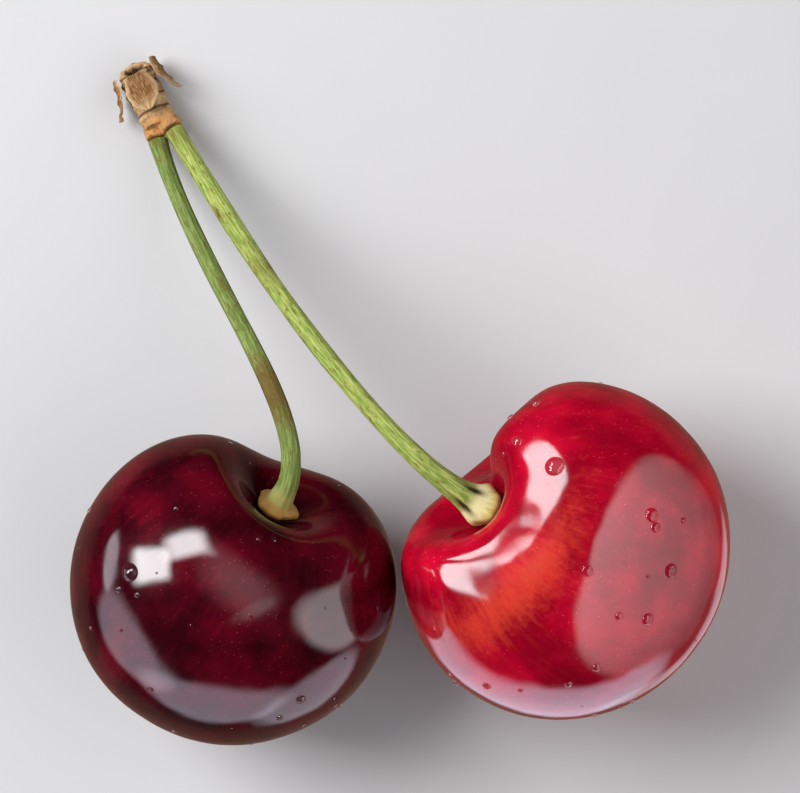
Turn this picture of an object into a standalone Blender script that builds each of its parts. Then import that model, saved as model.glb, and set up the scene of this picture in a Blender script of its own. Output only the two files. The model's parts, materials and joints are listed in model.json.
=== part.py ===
"""A pair of sweet cherries on their stalks, joined at one fruiting spur and lying on a surface.

Both cherries rest on their cheeks with the stem cavity turned up and towards the fork. Each stalk
stands in its cherry's cavity on a flared pad, arches out and comes down to the spur, a short knobbly
bit of wood that lies on the surface and still wears a few dry bud scales.

Metres, +Z up. X runs from the dark cherry to the red one, Y from the cherries to the spur. The origin
is under the middle of the whole pair, on the surface that it rests on.
"""

import math
from dataclasses import dataclass

import bmesh
import bpy
import numpy as np
from mathutils import Matrix, Vector


@dataclass(frozen=True)
class Cherry:
    """One fruit. Its own +Z is the core axis, stalk end up, and its cheeks are at its own +X and -X."""

    name: str
    width: float  # across both cheeks
    thickness: float  # square to the width
    half_height: float  # from the middle to the blossom end
    cavity_depth: float  # how far the stalk end sinks in
    cavity_radius: float  # of the dip, inside the shoulders
    shoulder_rise: float  # how far the cheeks' shoulders stand above the mean rim
    shoulder_lean: float  # how much more than that the shoulder at its own +X does
    suture: float  # where the suture is round the core, degrees from its own +X
    notch_depth: float  # how far the suture cuts the cavity's rim
    heading: float  # plan direction of the stalk end, degrees from +X
    tilt: float  # rise of the stalk end above level, degrees
    turn: float  # turn about the core axis, degrees
    colour: tuple


@dataclass(frozen=True)
class Stalk:
    """One stalk, from the pad in its cherry's cavity to its collar on the spur."""

    name: str
    radius: float  # of the slender middle
    pad_radius: float  # of the disc that sits in the cavity
    foot_radius: float  # of the swelling at the collar
    lead: float  # how far it keeps its cherry's own line before it bends
    fork_lead: float  # how far it keeps its collar's line
    collar_turn: float  # its collar's turn away from the spur's line, degrees
    collar_side: float  # which side of the spur its collar is on


RED_CHERRY = Cherry(
    name="red_cherry",
    width=0.0287,
    thickness=0.0262,
    half_height=0.0130,
    cavity_depth=0.0052,
    cavity_radius=0.0034,
    shoulder_rise=0.0009,
    shoulder_lean=0.0007,
    suture=238,
    notch_depth=0.0047,
    heading=151,
    tilt=31,
    turn=0,
    colour=(0.55, 0.005, 0.02),
)
DARK_CHERRY = Cherry(
    name="dark_cherry",
    width=0.0274,
    thickness=0.0252,
    half_height=0.0129,
    cavity_depth=0.0048,
    cavity_radius=0.0043,
    shoulder_rise=0.00045,
    shoulder_lean=0.0,
    suture=90,
    notch_depth=0.0012,
    heading=61,
    tilt=29,
    turn=196,
    colour=(0.10, 0.004, 0.012),
)
RED_STALK = Stalk(
    name="red_stalk",
    radius=0.00078,
    pad_radius=0.0019,
    foot_radius=0.00086,
    lead=0.0112,
    fork_lead=0.0145,
    collar_turn=5,
    collar_side=1,
)
DARK_STALK = Stalk(
    name="dark_stalk",
    radius=0.00074,
    pad_radius=0.0019,
    foot_radius=0.00082,
    lead=0.0075,
    fork_lead=0.012,
    collar_turn=-10,
    collar_side=-1,
)

# The flesh's shape, which both cherries share.
EGG = 0.055  # how much fuller the stalk end is than the blossom end
FULLNESS = 0.022  # how much rounder than an ellipse the outline is
SHOULDER_RADIUS = 0.0070  # how far out the cheeks' shoulders are highest
SHOULDER_SPREAD = 0.0034
NOTCH_RADIUS = 0.0080  # how far out the suture's cut in the rim is deepest
NOTCH_REACH = 0.0045  # how far that cut runs inwards and outwards
NOTCH_SPREAD = 0.58  # how wide that cut is, radians
NOTCH_CLEAR = 0.0020  # it leaves the floor under the pad whole, out to here
FURROW_DEPTH = 0.00022  # of the suture down the side
FURROW_SPREAD = 0.20  # radians
TIP_DIMPLE = 0.0005  # at the blossom end
TIP_RADIUS = 0.0017

# How the pair lies.
CHERRY_GAP = 0.0004  # between the two fruits
CHERRY_BEARING = 6.3  # plan direction from the dark cherry to the red one, degrees
CONTACT_PRESS = 0.00016  # how much each fruit flattens where it rests
FORK_OUT = 0.0400  # from the line through the fruits to the fork
FORK_ASIDE = -0.0162  # from the middle of that line, along it

# The fruiting spur, from the fork to its broken end.
SPUR_LENGTH = 0.0060
SPUR_RADIUS = 0.00142
SPUR_BEARING = 116  # plan direction from the fork to the broken end, degrees
SPUR_DROP = 8  # fall towards the broken end, degrees
SPUR_SCARS = 5  # rings left by fallen bud scales
SCAR_RIDGE = 0.00013
WOOD_WAIST = 0.80  # the wood's ends are this share of its radius
WOOD_KNOBS = 0.05  # how far its girth swells and shrinks, as a share
WOOD_TWIST = 900  # how those swellings wind round it, radians to a metre
COLLAR_LIP = 0.0001  # a collar stands out round its stalk's foot by this
COLLAR_LENGTH = 0.0018
COLLAR_APART = 0.00007  # between the two collars at their mouths
COLLAR_RISE = 10  # the collars tilt up from the spur's line, degrees
COLLAR_ROLL = 35  # the red stalk's collar stands this far round above the dark one's, degrees
FORK_WIDENING = 0.12  # the wood is wider than it is high at the fork by this share

# The dry bud scales round the spur.
SCALE_LENGTH = 0.0034
SCALE_HALF_ARC = 36  # degrees of the spur's girth, each way
SCALE_THICKNESS = 0.00035
SCALE_SPREAD = 0.0006  # how far a scale's tip stands off the spur
SCALE_ANGLES = (94, 12, 174)  # round the spur, degrees from level
SCALE_STARTS = (0.0016, 0.0006, 0.0011)  # of each scale's root, from the broken end

# The stalks' ends.
PAD_THICKNESS = 0.0004  # of a pad's rim
PAD_FLARE = ((0.0009, 0.62), (0.0016, 0.30), (0.0026, 0.12), (0.0042, 0.04))  # beyond the rim, share left
FOOT_FADE = 0.0016  # how fast the swelling at the collar dies away

FIT_GAP = 0.0003  # between pieces that touch
PAD_GAP = 0.00035  # between a pad and the curved floor of its cavity
NECK = 0.0028  # each stalk stands square to its pad for this far

SKIN_RINGS = 24
SKIN_SIDES = 36
STALK_SIDES = 12
STALK_STATIONS = 22
PATH_STEPS = 400
SPUR_SIDES = 16
SCALE_STATIONS = 6
SCALE_COLUMNS = 5


def smoothstep(value):
    """0 below 0, 1 above 1, with a smooth rise between."""
    t = np.clip(value, 0.0, 1.0)
    return t * t * (3 - 2 * t)


def bell(value, spread):
    """1 at 0, falling away smoothly on both sides."""
    return np.exp(-((value / spread) ** 2))


def girth(theta):
    """The outline's half width at the angle theta from the stalk end, before it is scaled."""
    full = 1 + FULLNESS * np.sin(2 * theta) ** 2
    return np.sin(theta) * (1 + EGG * np.cos(theta)) * full


def skin(cherry, theta, phi):
    """Points of the skin, at theta from the stalk end and phi round the core, as three arrays."""
    widest = girth(np.linspace(0, math.pi, 721)).max()
    off_suture = (phi - math.radians(cherry.suture) + math.pi) % (2 * math.pi) - math.pi
    furrow = bell(off_suture, FURROW_SPREAD) * FURROW_DEPTH * np.sin(theta) ** 2
    out = girth(theta) / widest
    x = (cherry.width / 2 * out - furrow) * np.cos(phi)
    y = (cherry.thickness / 2 * out - furrow) * np.sin(phi)
    r = np.hypot(x, y)
    top = smoothstep(np.cos(theta) / 0.3)
    bottom = smoothstep(-np.cos(theta) / 0.3)
    z = cherry.half_height * np.cos(theta) * (1 + FULLNESS * np.sin(2 * theta) ** 2)
    z = z - top * cherry.cavity_depth * bell(r, cherry.cavity_radius)
    on_shoulder = bell(r - SHOULDER_RADIUS, SHOULDER_SPREAD)
    rise = cherry.shoulder_rise * np.cos(2 * phi) + cherry.shoulder_lean * np.cos(phi)
    z = z + top * rise * on_shoulder
    cut = bell(r - NOTCH_RADIUS, NOTCH_REACH) * (1 - bell(r, NOTCH_CLEAR))
    z = z - top * cherry.notch_depth * bell(off_suture, NOTCH_SPREAD) * cut
    z = z + bottom * TIP_DIMPLE * bell(r, TIP_RADIUS)
    return x, y, z


def cavity_floor(cherry, radius=0.0):
    """Height of the cavity's floor at a distance from the core axis, at its highest round it."""
    theta = np.linspace(0, math.radians(60), 400)
    heights = []
    for phi in np.linspace(0, 2 * math.pi, 24, endpoint=False):
        x, y, z = skin(cherry, theta, np.full_like(theta, phi))
        heights.append(np.interp(radius, np.hypot(x, y), z))
    return float(max(heights))


def closed_mesh(name, rings, first=None, last=None):
    """A closed mesh through rings of points. An end is a fan to a point, or a flat face."""
    bm = bmesh.new()
    loops = [[bm.verts.new(point) for point in ring] for ring in rings]
    sides = len(loops[0])
    for below, above in zip(loops, loops[1:]):
        for i in range(sides):
            j = (i + 1) % sides
            bm.faces.new((below[i], below[j], above[j], above[i]))
    for loop, end in ((loops[0], first), (loops[-1], last)):
        if end is None:
            bm.faces.new(loop)
            continue
        tip = bm.verts.new(end)
        for i in range(sides):
            bm.faces.new((loop[i], loop[(i + 1) % sides], tip))
    bmesh.ops.recalc_face_normals(bm, faces=bm.faces)
    mesh = bpy.data.meshes.new(name)
    bm.to_mesh(mesh)
    bm.free()
    return mesh


def place(name, mesh, matrix, material):
    """Links a mesh into the scene as an object, shaded smooth."""
    mesh.shade_smooth()
    mesh.set_sharp_from_angle(angle=math.radians(40))
    mesh.materials.append(material)
    thing = bpy.data.objects.new(name, mesh)
    thing.matrix_world = matrix
    bpy.context.scene.collection.objects.link(thing)
    return thing


def finish(name, colour, roughness):
    """A plain dielectric material."""
    material = bpy.data.materials.new(name)
    material.use_nodes = True
    shader = material.node_tree.nodes["Principled BSDF"]
    shader.inputs["Base Color"].default_value = (*colour, 1)
    shader.inputs["Roughness"].default_value = roughness
    shader.inputs["Metallic"].default_value = 0
    return material


def heading_vector(bearing, rise):
    """The unit vector at a plan bearing and a rise above level, in degrees."""
    b, r = math.radians(bearing), math.radians(rise)
    return Vector((math.cos(b) * math.cos(r), math.sin(b) * math.cos(r), math.sin(r)))


def frame_along(direction):
    """A rotation whose Z is the direction, and whose X is level."""
    z = direction.normalized()
    x = Vector((0, 0, 1)).cross(z).normalized()
    y = z.cross(x)
    return Matrix((x, y, z)).transposed()


def cherry_mesh(cherry):
    """The whole skin of one fruit, round its own middle."""
    theta = math.pi * (np.arange(1, SKIN_RINGS) / SKIN_RINGS) ** 1.22
    phi = np.linspace(0, 2 * math.pi, SKIN_SIDES, endpoint=False)
    rings = []
    for t in theta:
        rings.append(list(zip(*skin(cherry, np.full_like(phi, t), phi))))
    stalk_end = (0, 0, cavity_floor(cherry))
    blossom_end = (0, 0, float(skin(cherry, np.array([math.pi]), np.array([0.0]))[2][0]))
    return closed_mesh(cherry.name, rings, stalk_end, blossom_end)


def cherry_rotation(cherry):
    """How one fruit lies: its core axis along its heading and tilt, turned about that axis."""
    return frame_along(heading_vector(cherry.heading, cherry.tilt)) @ Matrix.Rotation(
        math.radians(cherry.turn), 3, "Z"
    )


def reach(mesh, rotation, direction):
    """How far a turned mesh reaches from its middle in one direction."""
    return max((rotation @ v.co).dot(direction) for v in mesh.vertices)


def press_flat(mesh, matrix):
    """Cuts the fruit off level with the surface it rests on, which leaves a small flat."""
    inverse = matrix.inverted()
    bm = bmesh.new()
    bm.from_mesh(mesh)
    normal = (inverse.to_3x3() @ Vector((0, 0, 1))).normalized()
    parts = bm.verts[:] + bm.edges[:] + bm.faces[:]
    bmesh.ops.bisect_plane(
        bm, geom=parts, dist=1e-6, plane_co=inverse @ Vector(), plane_no=normal, clear_inner=True
    )
    rim = [edge for edge in bm.edges if edge.is_boundary]
    bmesh.ops.holes_fill(bm, edges=rim)
    bmesh.ops.recalc_face_normals(bm, faces=bm.faces)
    bm.to_mesh(mesh)
    bm.free()


def lay_cherries(skins):
    """Meshes and places of both fruits: side by side, a small gap apart, each on its own flat."""
    towards = heading_vector(CHERRY_BEARING, 0)
    turned = [(mesh, cherry_rotation(cherry)) for cherry, mesh in skins]
    span = reach(*turned[0], towards) + reach(*turned[1], -towards) + CHERRY_GAP
    laid = []
    for (mesh, rotation), side in zip(turned, (-0.5, 0.5)):
        middle = towards * span * side
        middle.z = reach(mesh, rotation, Vector((0, 0, -1))) - CONTACT_PRESS
        matrix = Matrix.Translation(middle) @ rotation.to_4x4()
        press_flat(mesh, matrix)
        laid.append(matrix)
    return laid


def spur_profile():
    """(distance from the broken end, radius, how much wider than high) down the spur."""
    stations = []
    steps = SPUR_SCARS * 3
    for i in range(steps + 1):
        share = i / steps
        swell = WOOD_WAIST + (1 - WOOD_WAIST) * math.sin(math.pi * (0.15 + 0.7 * share))
        ridge = SCAR_RIDGE if i % 3 == 1 else 0.0
        stations.append((SPUR_LENGTH * share, SPUR_RADIUS * swell + ridge, 1 + FORK_WIDENING * share**2))
    return stations


def spur_mesh():
    """The spur's wood, its broken end at the origin and its fork end up its own Z."""
    rings = []
    for along, radius, wider in spur_profile():
        ring = []
        for i in range(SPUR_SIDES):
            a = 2 * math.pi * i / SPUR_SIDES
            knobbly = 1 + WOOD_KNOBS * math.sin(2 * a + along * WOOD_TWIST)
            ring.append((radius * knobbly * wider * math.cos(a), radius * knobbly * math.sin(a), along))
        rings.append(ring)
    dome = SPUR_LENGTH + SPUR_RADIUS * 0.25
    return closed_mesh("spur", rings, None, (0, 0, dome))


def collar_radius(stalk):
    """A collar's radius: its stalk's foot and the lip round it."""
    return stalk.foot_radius + COLLAR_LIP


def collar_frame(stalk):
    """Where a collar's mouth is in the spur's frame, facing out along its own Z."""
    lean = Matrix.Rotation(math.radians(stalk.collar_turn), 3, "Y")
    rise = Matrix.Rotation(math.radians(COLLAR_RISE), 3, "X").inverted()
    rotation = (rise @ lean).to_4x4()
    roll = math.radians(COLLAR_ROLL)
    spacing = collar_radius(RED_STALK) + collar_radius(DARK_STALK) + COLLAR_APART
    aside = Vector((math.cos(roll), math.sin(roll), 0)) * (stalk.collar_side * spacing / 2)
    mouth = aside + Vector((0, 0, SPUR_LENGTH + COLLAR_LENGTH / 2))
    return Matrix.Translation(mouth) @ rotation


def collar_mesh(name, radius):
    """A collar, its mouth at the origin and its root down its own Z, inside the wood."""
    rings = []
    for down, share in ((0, 0.94), (0.12, 1.0), (0.5, 1.0), (0.8, 0.92), (1.0, 0.84)):
        ring = []
        for i in range(STALK_SIDES):
            a = 2 * math.pi * i / STALK_SIDES
            r = radius * share
            ring.append((r * math.cos(a), r * math.sin(a), -down * COLLAR_LENGTH))
        rings.append(ring)
    return closed_mesh(name, rings)


def scale_mesh(name, middle, start):
    """One dry bud scale in the spur's frame: a thin spoon that hugs the wood and flares to a tip.

    middle is its place round the spur in degrees, and start is its root's distance from the broken end.
    """
    alongs, radii, widths = (np.array(column) for column in zip(*spur_profile()))
    rings = []
    for i in range(SCALE_STATIONS + 1):
        share = i / SCALE_STATIONS
        along = start + SCALE_LENGTH * share
        wood = np.interp(along, alongs, radii) * 1.05 + SCAR_RIDGE
        wider = np.interp(along, alongs, widths)
        inside = wood + FIT_GAP + SCALE_SPREAD * share**2
        outside = inside + SCALE_THICKNESS * (1 - 0.35 * share)
        half = math.radians(SCALE_HALF_ARC) * math.sin(math.pi * (0.22 + 0.70 * share)) ** 0.8
        ring = []
        for radius, order in ((outside, 1), (inside, -1)):
            for j in range(SCALE_COLUMNS)[::order]:
                a = math.radians(middle) + half * (2 * j / (SCALE_COLUMNS - 1) - 1)
                ring.append((radius * wider * math.cos(a), radius * math.sin(a), along))
        rings.append(ring)
    return closed_mesh(name, rings)


def bezier(p0, p1, p2, p3, t):
    """A point on a cubic curve."""
    u = 1 - t
    return p0 * u**3 + p1 * (3 * u * u * t) + p2 * (3 * u * t * t) + p3 * t**3


def stalk_path(foot, axis, lead, mouth, collar_axis, fork_lead):
    """Points down a stalk: straight up off the cavity's floor, then one smooth bend to the mouth."""
    neck = foot + axis * NECK
    p1 = neck + axis * lead
    p2 = mouth + collar_axis * fork_lead
    return [foot] + [bezier(neck, p1, p2, mouth, i / PATH_STEPS) for i in range(PATH_STEPS + 1)]


def stalk_profile(stalk, cherry, length):
    """(distance from the cavity's floor, radius) down the stalk: pad, flare, middle and foot."""
    floor = cavity_floor(cherry)
    stations = []
    for share in (0.4, 0.75, 1.0):
        radius = stalk.pad_radius * share
        stations.append((cavity_floor(cherry, radius) - floor + PAD_GAP, radius))
    rim = stations[-1][0]
    stations.append((rim + PAD_THICKNESS, stalk.pad_radius * 0.99))
    for beyond, share in PAD_FLARE:
        radius = stalk.radius + (stalk.pad_radius - stalk.radius) * share
        stations.append((rim + beyond, radius))
    start, end = stations[-1][0], length - FIT_GAP
    for i in range(1, STALK_STATIONS + 1):
        along = start + (end - start) * i / STALK_STATIONS
        swell = (stalk.foot_radius - stalk.radius) * math.exp(-(end - along) / FOOT_FADE)
        stations.append((along, stalk.radius + swell))
    return stations


def stalk_mesh(stalk, cherry, path):
    """A stalk swept down its path, with rings that turn as little as they can."""
    steps = [(b - a).length for a, b in zip(path, path[1:])]
    travelled = np.concatenate([[0], np.cumsum(steps)])
    coordinates = np.array(path)

    def at(distance):
        return Vector([np.interp(distance, travelled, coordinates[:, k]) for k in range(3)])

    stations = stalk_profile(stalk, cherry, float(travelled[-1]))
    side = (path[1] - path[0]).orthogonal().normalized()
    rings = []
    for along, radius in stations:
        ahead = (at(along + 0.0002) - at(along - 0.0002)).normalized()
        side = (side - ahead * side.dot(ahead)).normalized()
        up = ahead.cross(side)
        centre = at(along)
        ring = []
        for i in range(STALK_SIDES):
            a = 2 * math.pi * i / STALK_SIDES
            ring.append(centre + (side * math.cos(a) + up * math.sin(a)) * radius)
        rings.append(ring)
    return closed_mesh(stalk.name, rings, at(PAD_GAP), None)


def lay_spur():
    """The spur's place: its fork end over the fork, lying on the surface."""
    rotation = frame_along(heading_vector(SPUR_BEARING + 180, SPUR_DROP))
    along = heading_vector(CHERRY_BEARING, 0)
    across = heading_vector(CHERRY_BEARING + 90, 0)
    fork = along * FORK_ASIDE + across * FORK_OUT
    down = Vector((0, 0, -1))
    mesh = spur_mesh()
    lowest = reach(mesh, rotation, down)
    bpy.data.meshes.remove(mesh)
    broken_end = fork - rotation @ Vector((0, 0, SPUR_LENGTH))
    broken_end.z = lowest
    return Matrix.Translation(broken_end) @ rotation.to_4x4()


def add_spur(matrix, material):
    """The spur with both collars, as one solid."""
    spur = place("spur", spur_mesh(), matrix, material)
    guides = []
    for stalk in (RED_STALK, DARK_STALK):
        name = stalk.name.replace("stalk", "collar")
        mesh = collar_mesh(name, collar_radius(stalk))
        guide = place(name, mesh, matrix @ collar_frame(stalk), material)
        guide.hide_render = True
        guide.display_type = "WIRE"
        union = spur.modifiers.new(name, "BOOLEAN")
        union.operation = "UNION"
        union.object = guide
        guides.append(guide)
    return [spur, *guides]


def add_stalk(stalk, cherry, cherry_matrix, spur_matrix, material):
    """One stalk between its cherry's cavity and its collar."""
    axis = (cherry_matrix.to_3x3() @ Vector((0, 0, 1))).normalized()
    foot = cherry_matrix @ Vector((0, 0, cavity_floor(cherry)))
    collar = spur_matrix @ collar_frame(stalk)
    collar_axis = (collar.to_3x3() @ Vector((0, 0, 1))).normalized()
    path = stalk_path(foot, axis, stalk.lead, collar.translation, collar_axis, stalk.fork_lead)
    return place(stalk.name, stalk_mesh(stalk, cherry, path), Matrix(), material)


def centre_in_plan(things):
    """Moves everything so that the origin is under the middle of the whole."""
    bpy.context.view_layer.update()
    corners = [t.matrix_world @ v.co for t in things if not t.hide_render for v in t.data.vertices]
    low = Vector([min(c[k] for c in corners) for k in range(3)])
    high = Vector([max(c[k] for c in corners) for k in range(3)])
    middle = (low + high) / 2
    for thing in things:
        thing.location -= Vector((middle.x, middle.y, 0))


def main():
    """Clears the scene and builds the pair."""
    for thing in list(bpy.data.objects):
        bpy.data.objects.remove(thing, do_unlink=True)
    green = finish("stalk_green", (0.26, 0.36, 0.06), 0.5)
    wood = finish("spur_wood", (0.36, 0.20, 0.09), 0.75)
    husk = finish("dry_scale", (0.25, 0.12, 0.05), 0.8)
    skins = [(cherry, cherry_mesh(cherry)) for cherry in (DARK_CHERRY, RED_CHERRY)]
    laid = lay_cherries(skins)
    things = []
    for (cherry, mesh), matrix in zip(skins, laid):
        things.append(place(cherry.name, mesh, matrix, finish(cherry.name, cherry.colour, 0.12)))
    spur_matrix = lay_spur()
    things += add_spur(spur_matrix, wood)
    pairs = ((DARK_STALK, DARK_CHERRY, laid[0]), (RED_STALK, RED_CHERRY, laid[1]))
    for stalk, cherry, matrix in pairs:
        things.append(add_stalk(stalk, cherry, matrix, spur_matrix, green))
    for i, (angle, start) in enumerate(zip(SCALE_ANGLES, SCALE_STARTS), 1):
        name = f"bud_scale_{i}"
        things.append(place(name, scale_mesh(name, angle, start), spur_matrix, husk))
    centre_in_plan(things)


main()
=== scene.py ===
"""The looks of a joined pair of sweet cherries, lying with its stalks and its fruiting spur.

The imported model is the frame: it says where each piece is. This script grows the fine skin of both
cherries, their ridged stalks, the knobbly spur with its dry scales and the water that beads on the
fruit, dresses each with its own finish, and sets the floor, the lights and the camera.

Metres, +Z up. +X runs from the dark cherry to the red one, and +Y from the cherries to the spur.
"""

from __future__ import annotations

import json
import logging
import math
from dataclasses import dataclass, field
from enum import Enum

import bmesh
import bpy
import numpy as np
from mathutils import Matrix, Quaternion, Vector
from mathutils.bvhtree import BVHTree

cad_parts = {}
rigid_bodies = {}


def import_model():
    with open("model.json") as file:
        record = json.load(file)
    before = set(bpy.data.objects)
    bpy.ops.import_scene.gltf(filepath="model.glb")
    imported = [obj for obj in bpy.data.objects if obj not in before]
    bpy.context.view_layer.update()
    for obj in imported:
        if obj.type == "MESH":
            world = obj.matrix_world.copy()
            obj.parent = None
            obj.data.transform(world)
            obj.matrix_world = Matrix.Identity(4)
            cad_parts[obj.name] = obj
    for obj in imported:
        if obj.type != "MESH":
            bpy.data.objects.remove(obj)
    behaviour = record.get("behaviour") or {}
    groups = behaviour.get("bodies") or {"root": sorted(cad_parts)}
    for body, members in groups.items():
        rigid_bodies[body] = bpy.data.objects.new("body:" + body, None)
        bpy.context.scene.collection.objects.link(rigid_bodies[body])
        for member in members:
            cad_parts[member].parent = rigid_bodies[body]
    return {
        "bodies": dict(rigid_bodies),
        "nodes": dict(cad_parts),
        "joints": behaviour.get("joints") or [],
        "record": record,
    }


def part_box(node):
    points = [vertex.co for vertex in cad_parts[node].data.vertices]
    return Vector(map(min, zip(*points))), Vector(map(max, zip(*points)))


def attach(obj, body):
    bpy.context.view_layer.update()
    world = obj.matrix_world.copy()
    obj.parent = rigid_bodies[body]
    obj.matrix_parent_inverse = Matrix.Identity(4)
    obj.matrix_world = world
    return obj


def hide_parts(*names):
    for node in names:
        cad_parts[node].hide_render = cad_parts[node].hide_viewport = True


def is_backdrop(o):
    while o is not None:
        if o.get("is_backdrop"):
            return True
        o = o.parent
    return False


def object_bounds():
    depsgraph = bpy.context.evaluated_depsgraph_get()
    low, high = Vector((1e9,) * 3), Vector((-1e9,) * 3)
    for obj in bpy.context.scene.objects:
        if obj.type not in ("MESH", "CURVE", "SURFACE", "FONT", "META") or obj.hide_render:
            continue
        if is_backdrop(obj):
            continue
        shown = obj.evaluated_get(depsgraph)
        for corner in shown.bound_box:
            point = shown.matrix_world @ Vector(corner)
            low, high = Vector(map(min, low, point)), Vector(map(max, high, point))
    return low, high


LOG = logging.getLogger("cherries")
MM = 0.001
Colour = tuple[float, float, float]


class Quality(Enum):
    """How finely a surface is cut: steps along it, and steps round it."""

    SKIN = (170, 224)
    STALK = (210, 40)
    SCALE = (40, 28)


# ---------------------------------------------------------------- small helpers


def smoothstep(value: np.ndarray | float) -> np.ndarray:
    """Rise smoothly from 0 to 1.

    Args:
        value: 0 or less gives 0, and 1 or more gives 1.

    Returns:
        The eased value.
    """
    t = np.clip(value, 0.0, 1.0)
    return t * t * (3 - 2 * t)


def rise_from(value: np.ndarray | float, start: float, width: float) -> np.ndarray:
    """Rise smoothly from 0 at the start to 1 a width beyond it."""
    return smoothstep((value - start) / width)


def bell(value: np.ndarray | float, spread: float) -> np.ndarray:
    """Return 1 at 0, falling away smoothly on both sides over the spread."""
    return np.exp(-((value / spread) ** 2))


def wrapped(angle: np.ndarray) -> np.ndarray:
    """Bring angles into the turn from -pi to pi."""
    return (angle + math.pi) % (2 * math.pi) - math.pi


def heading_vector(bearing: float, rise: float) -> Vector:
    """Give the unit vector at a plan bearing and a rise above level, both in degrees."""
    b, r = math.radians(bearing), math.radians(rise)
    return Vector((math.cos(b) * math.cos(r), math.sin(b) * math.cos(r), math.sin(r)))


def frame_along(direction: Vector) -> Matrix:
    """Give the rotation whose Z is the direction, and whose X is level.

    Args:
        direction: any vector that isn't upright.

    Returns:
        The 3 by 3 rotation.
    """
    z = direction.normalized()
    x = Vector((0, 0, 1)).cross(z).normalized()
    return Matrix((x, z.cross(x), z)).transposed()


def ripples(points: np.ndarray, wavelength: float, seed: int, waves: int = 24) -> np.ndarray:
    """Read a smooth random field made of plane waves.

    Args:
        points: N by 3 places.
        wavelength: the mean length of its waves, in the points' units.
        seed: which field it is.
        waves: how many waves are summed.

    Returns:
        One number for each point, mostly from -1 to 1.
    """
    rng = np.random.default_rng(seed)
    way = rng.normal(size=(waves, 3))
    way /= np.linalg.norm(way, axis=1)[:, None]
    way *= (2 * math.pi / wavelength) * rng.uniform(0.6, 1.5, (waves, 1))
    phase = rng.uniform(0, 2 * math.pi, waves)
    return np.sin(points @ way.T + phase).sum(axis=1) / math.sqrt(waves)


def closed_mesh(
    name: str, rings: np.ndarray, first: np.ndarray | None, last: np.ndarray | None
) -> bpy.types.Mesh:
    """Build a closed mesh through rings of points.

    Args:
        name: the mesh's name.
        rings: an array of rings by sides by 3.
        first: the point that the first ring closes to, or None for a flat end.
        last: the same for the last ring.

    Returns:
        The mesh. Its points are the rings in order, then the end points.
    """
    count, sides = rings.shape[:2]
    places = [rings.reshape(-1, 3)]
    faces: list[tuple[int, ...]] = []
    for i in range(count - 1):
        for j in range(sides):
            k = (j + 1) % sides
            faces.append((i * sides + j, i * sides + k, (i + 1) * sides + k, (i + 1) * sides + j))
    extra = count * sides
    for end, row in ((first, 0), (last, count - 1)):
        loop = [row * sides + j for j in range(sides)]
        if row == 0:
            loop.reverse()
        if end is None:
            faces.append(tuple(loop))
            continue
        places.append(np.asarray(end, float).reshape(1, 3))
        faces += [(loop[j], loop[(j + 1) % sides], extra) for j in range(sides)]
        extra += 1
    mesh = bpy.data.meshes.new(name)
    mesh.from_pydata(np.concatenate(places).tolist(), [], faces)
    mesh.update()
    return mesh


def face_out(mesh: bpy.types.Mesh) -> None:
    """Turn every face of a closed mesh outwards.

    Args:
        mesh: it is changed in place.
    """
    bm = bmesh.new()
    bm.from_mesh(mesh)
    bmesh.ops.recalc_face_normals(bm, faces=bm.faces)
    bm.to_mesh(mesh)
    bm.free()


def places_of(mesh: bpy.types.Mesh) -> np.ndarray:
    """Give a mesh's points as an N by 3 array.

    Args:
        mesh: the mesh.

    Returns:
        Its places, in its own order.
    """
    found = np.empty(len(mesh.vertices) * 3)
    mesh.vertices.foreach_get("co", found)
    return found.reshape(-1, 3)


def set_places(mesh: bpy.types.Mesh, places: np.ndarray) -> None:
    """Move a mesh's points to an N by 3 array of places."""
    mesh.vertices.foreach_set("co", np.ascontiguousarray(places).ravel())
    mesh.update()


def keep(mesh: bpy.types.Mesh, name: str, values: np.ndarray) -> None:
    """Store a number or a vector for each point, for the finish to read.

    Args:
        mesh: the mesh that keeps them.
        name: the attribute's name.
        values: N numbers, or N by 3.
    """
    kind, slot = ("FLOAT", "value") if values.ndim == 1 else ("FLOAT_VECTOR", "vector")
    layer = mesh.attributes.new(name, kind, "POINT")
    layer.data.foreach_set(slot, np.ascontiguousarray(values, dtype=np.float32).ravel())


def add_piece(
    name: str, mesh: bpy.types.Mesh, material: bpy.types.Material, slot: str, *nodes: str
) -> bpy.types.Object:
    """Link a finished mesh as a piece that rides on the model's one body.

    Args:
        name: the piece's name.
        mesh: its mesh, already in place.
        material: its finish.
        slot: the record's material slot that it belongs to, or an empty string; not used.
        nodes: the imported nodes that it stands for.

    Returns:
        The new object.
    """
    mesh.shade_smooth()
    mesh.materials.clear()
    mesh.materials.append(material)
    piece = bpy.data.objects.new(name, mesh)
    bpy.context.scene.collection.objects.link(piece)
    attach(piece, "root")
    if nodes:
        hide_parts(*nodes)
    LOG.info("%s: %d faces", name, len(mesh.polygons))
    return piece


# ---------------------------------------------------------------- finishes


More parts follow.
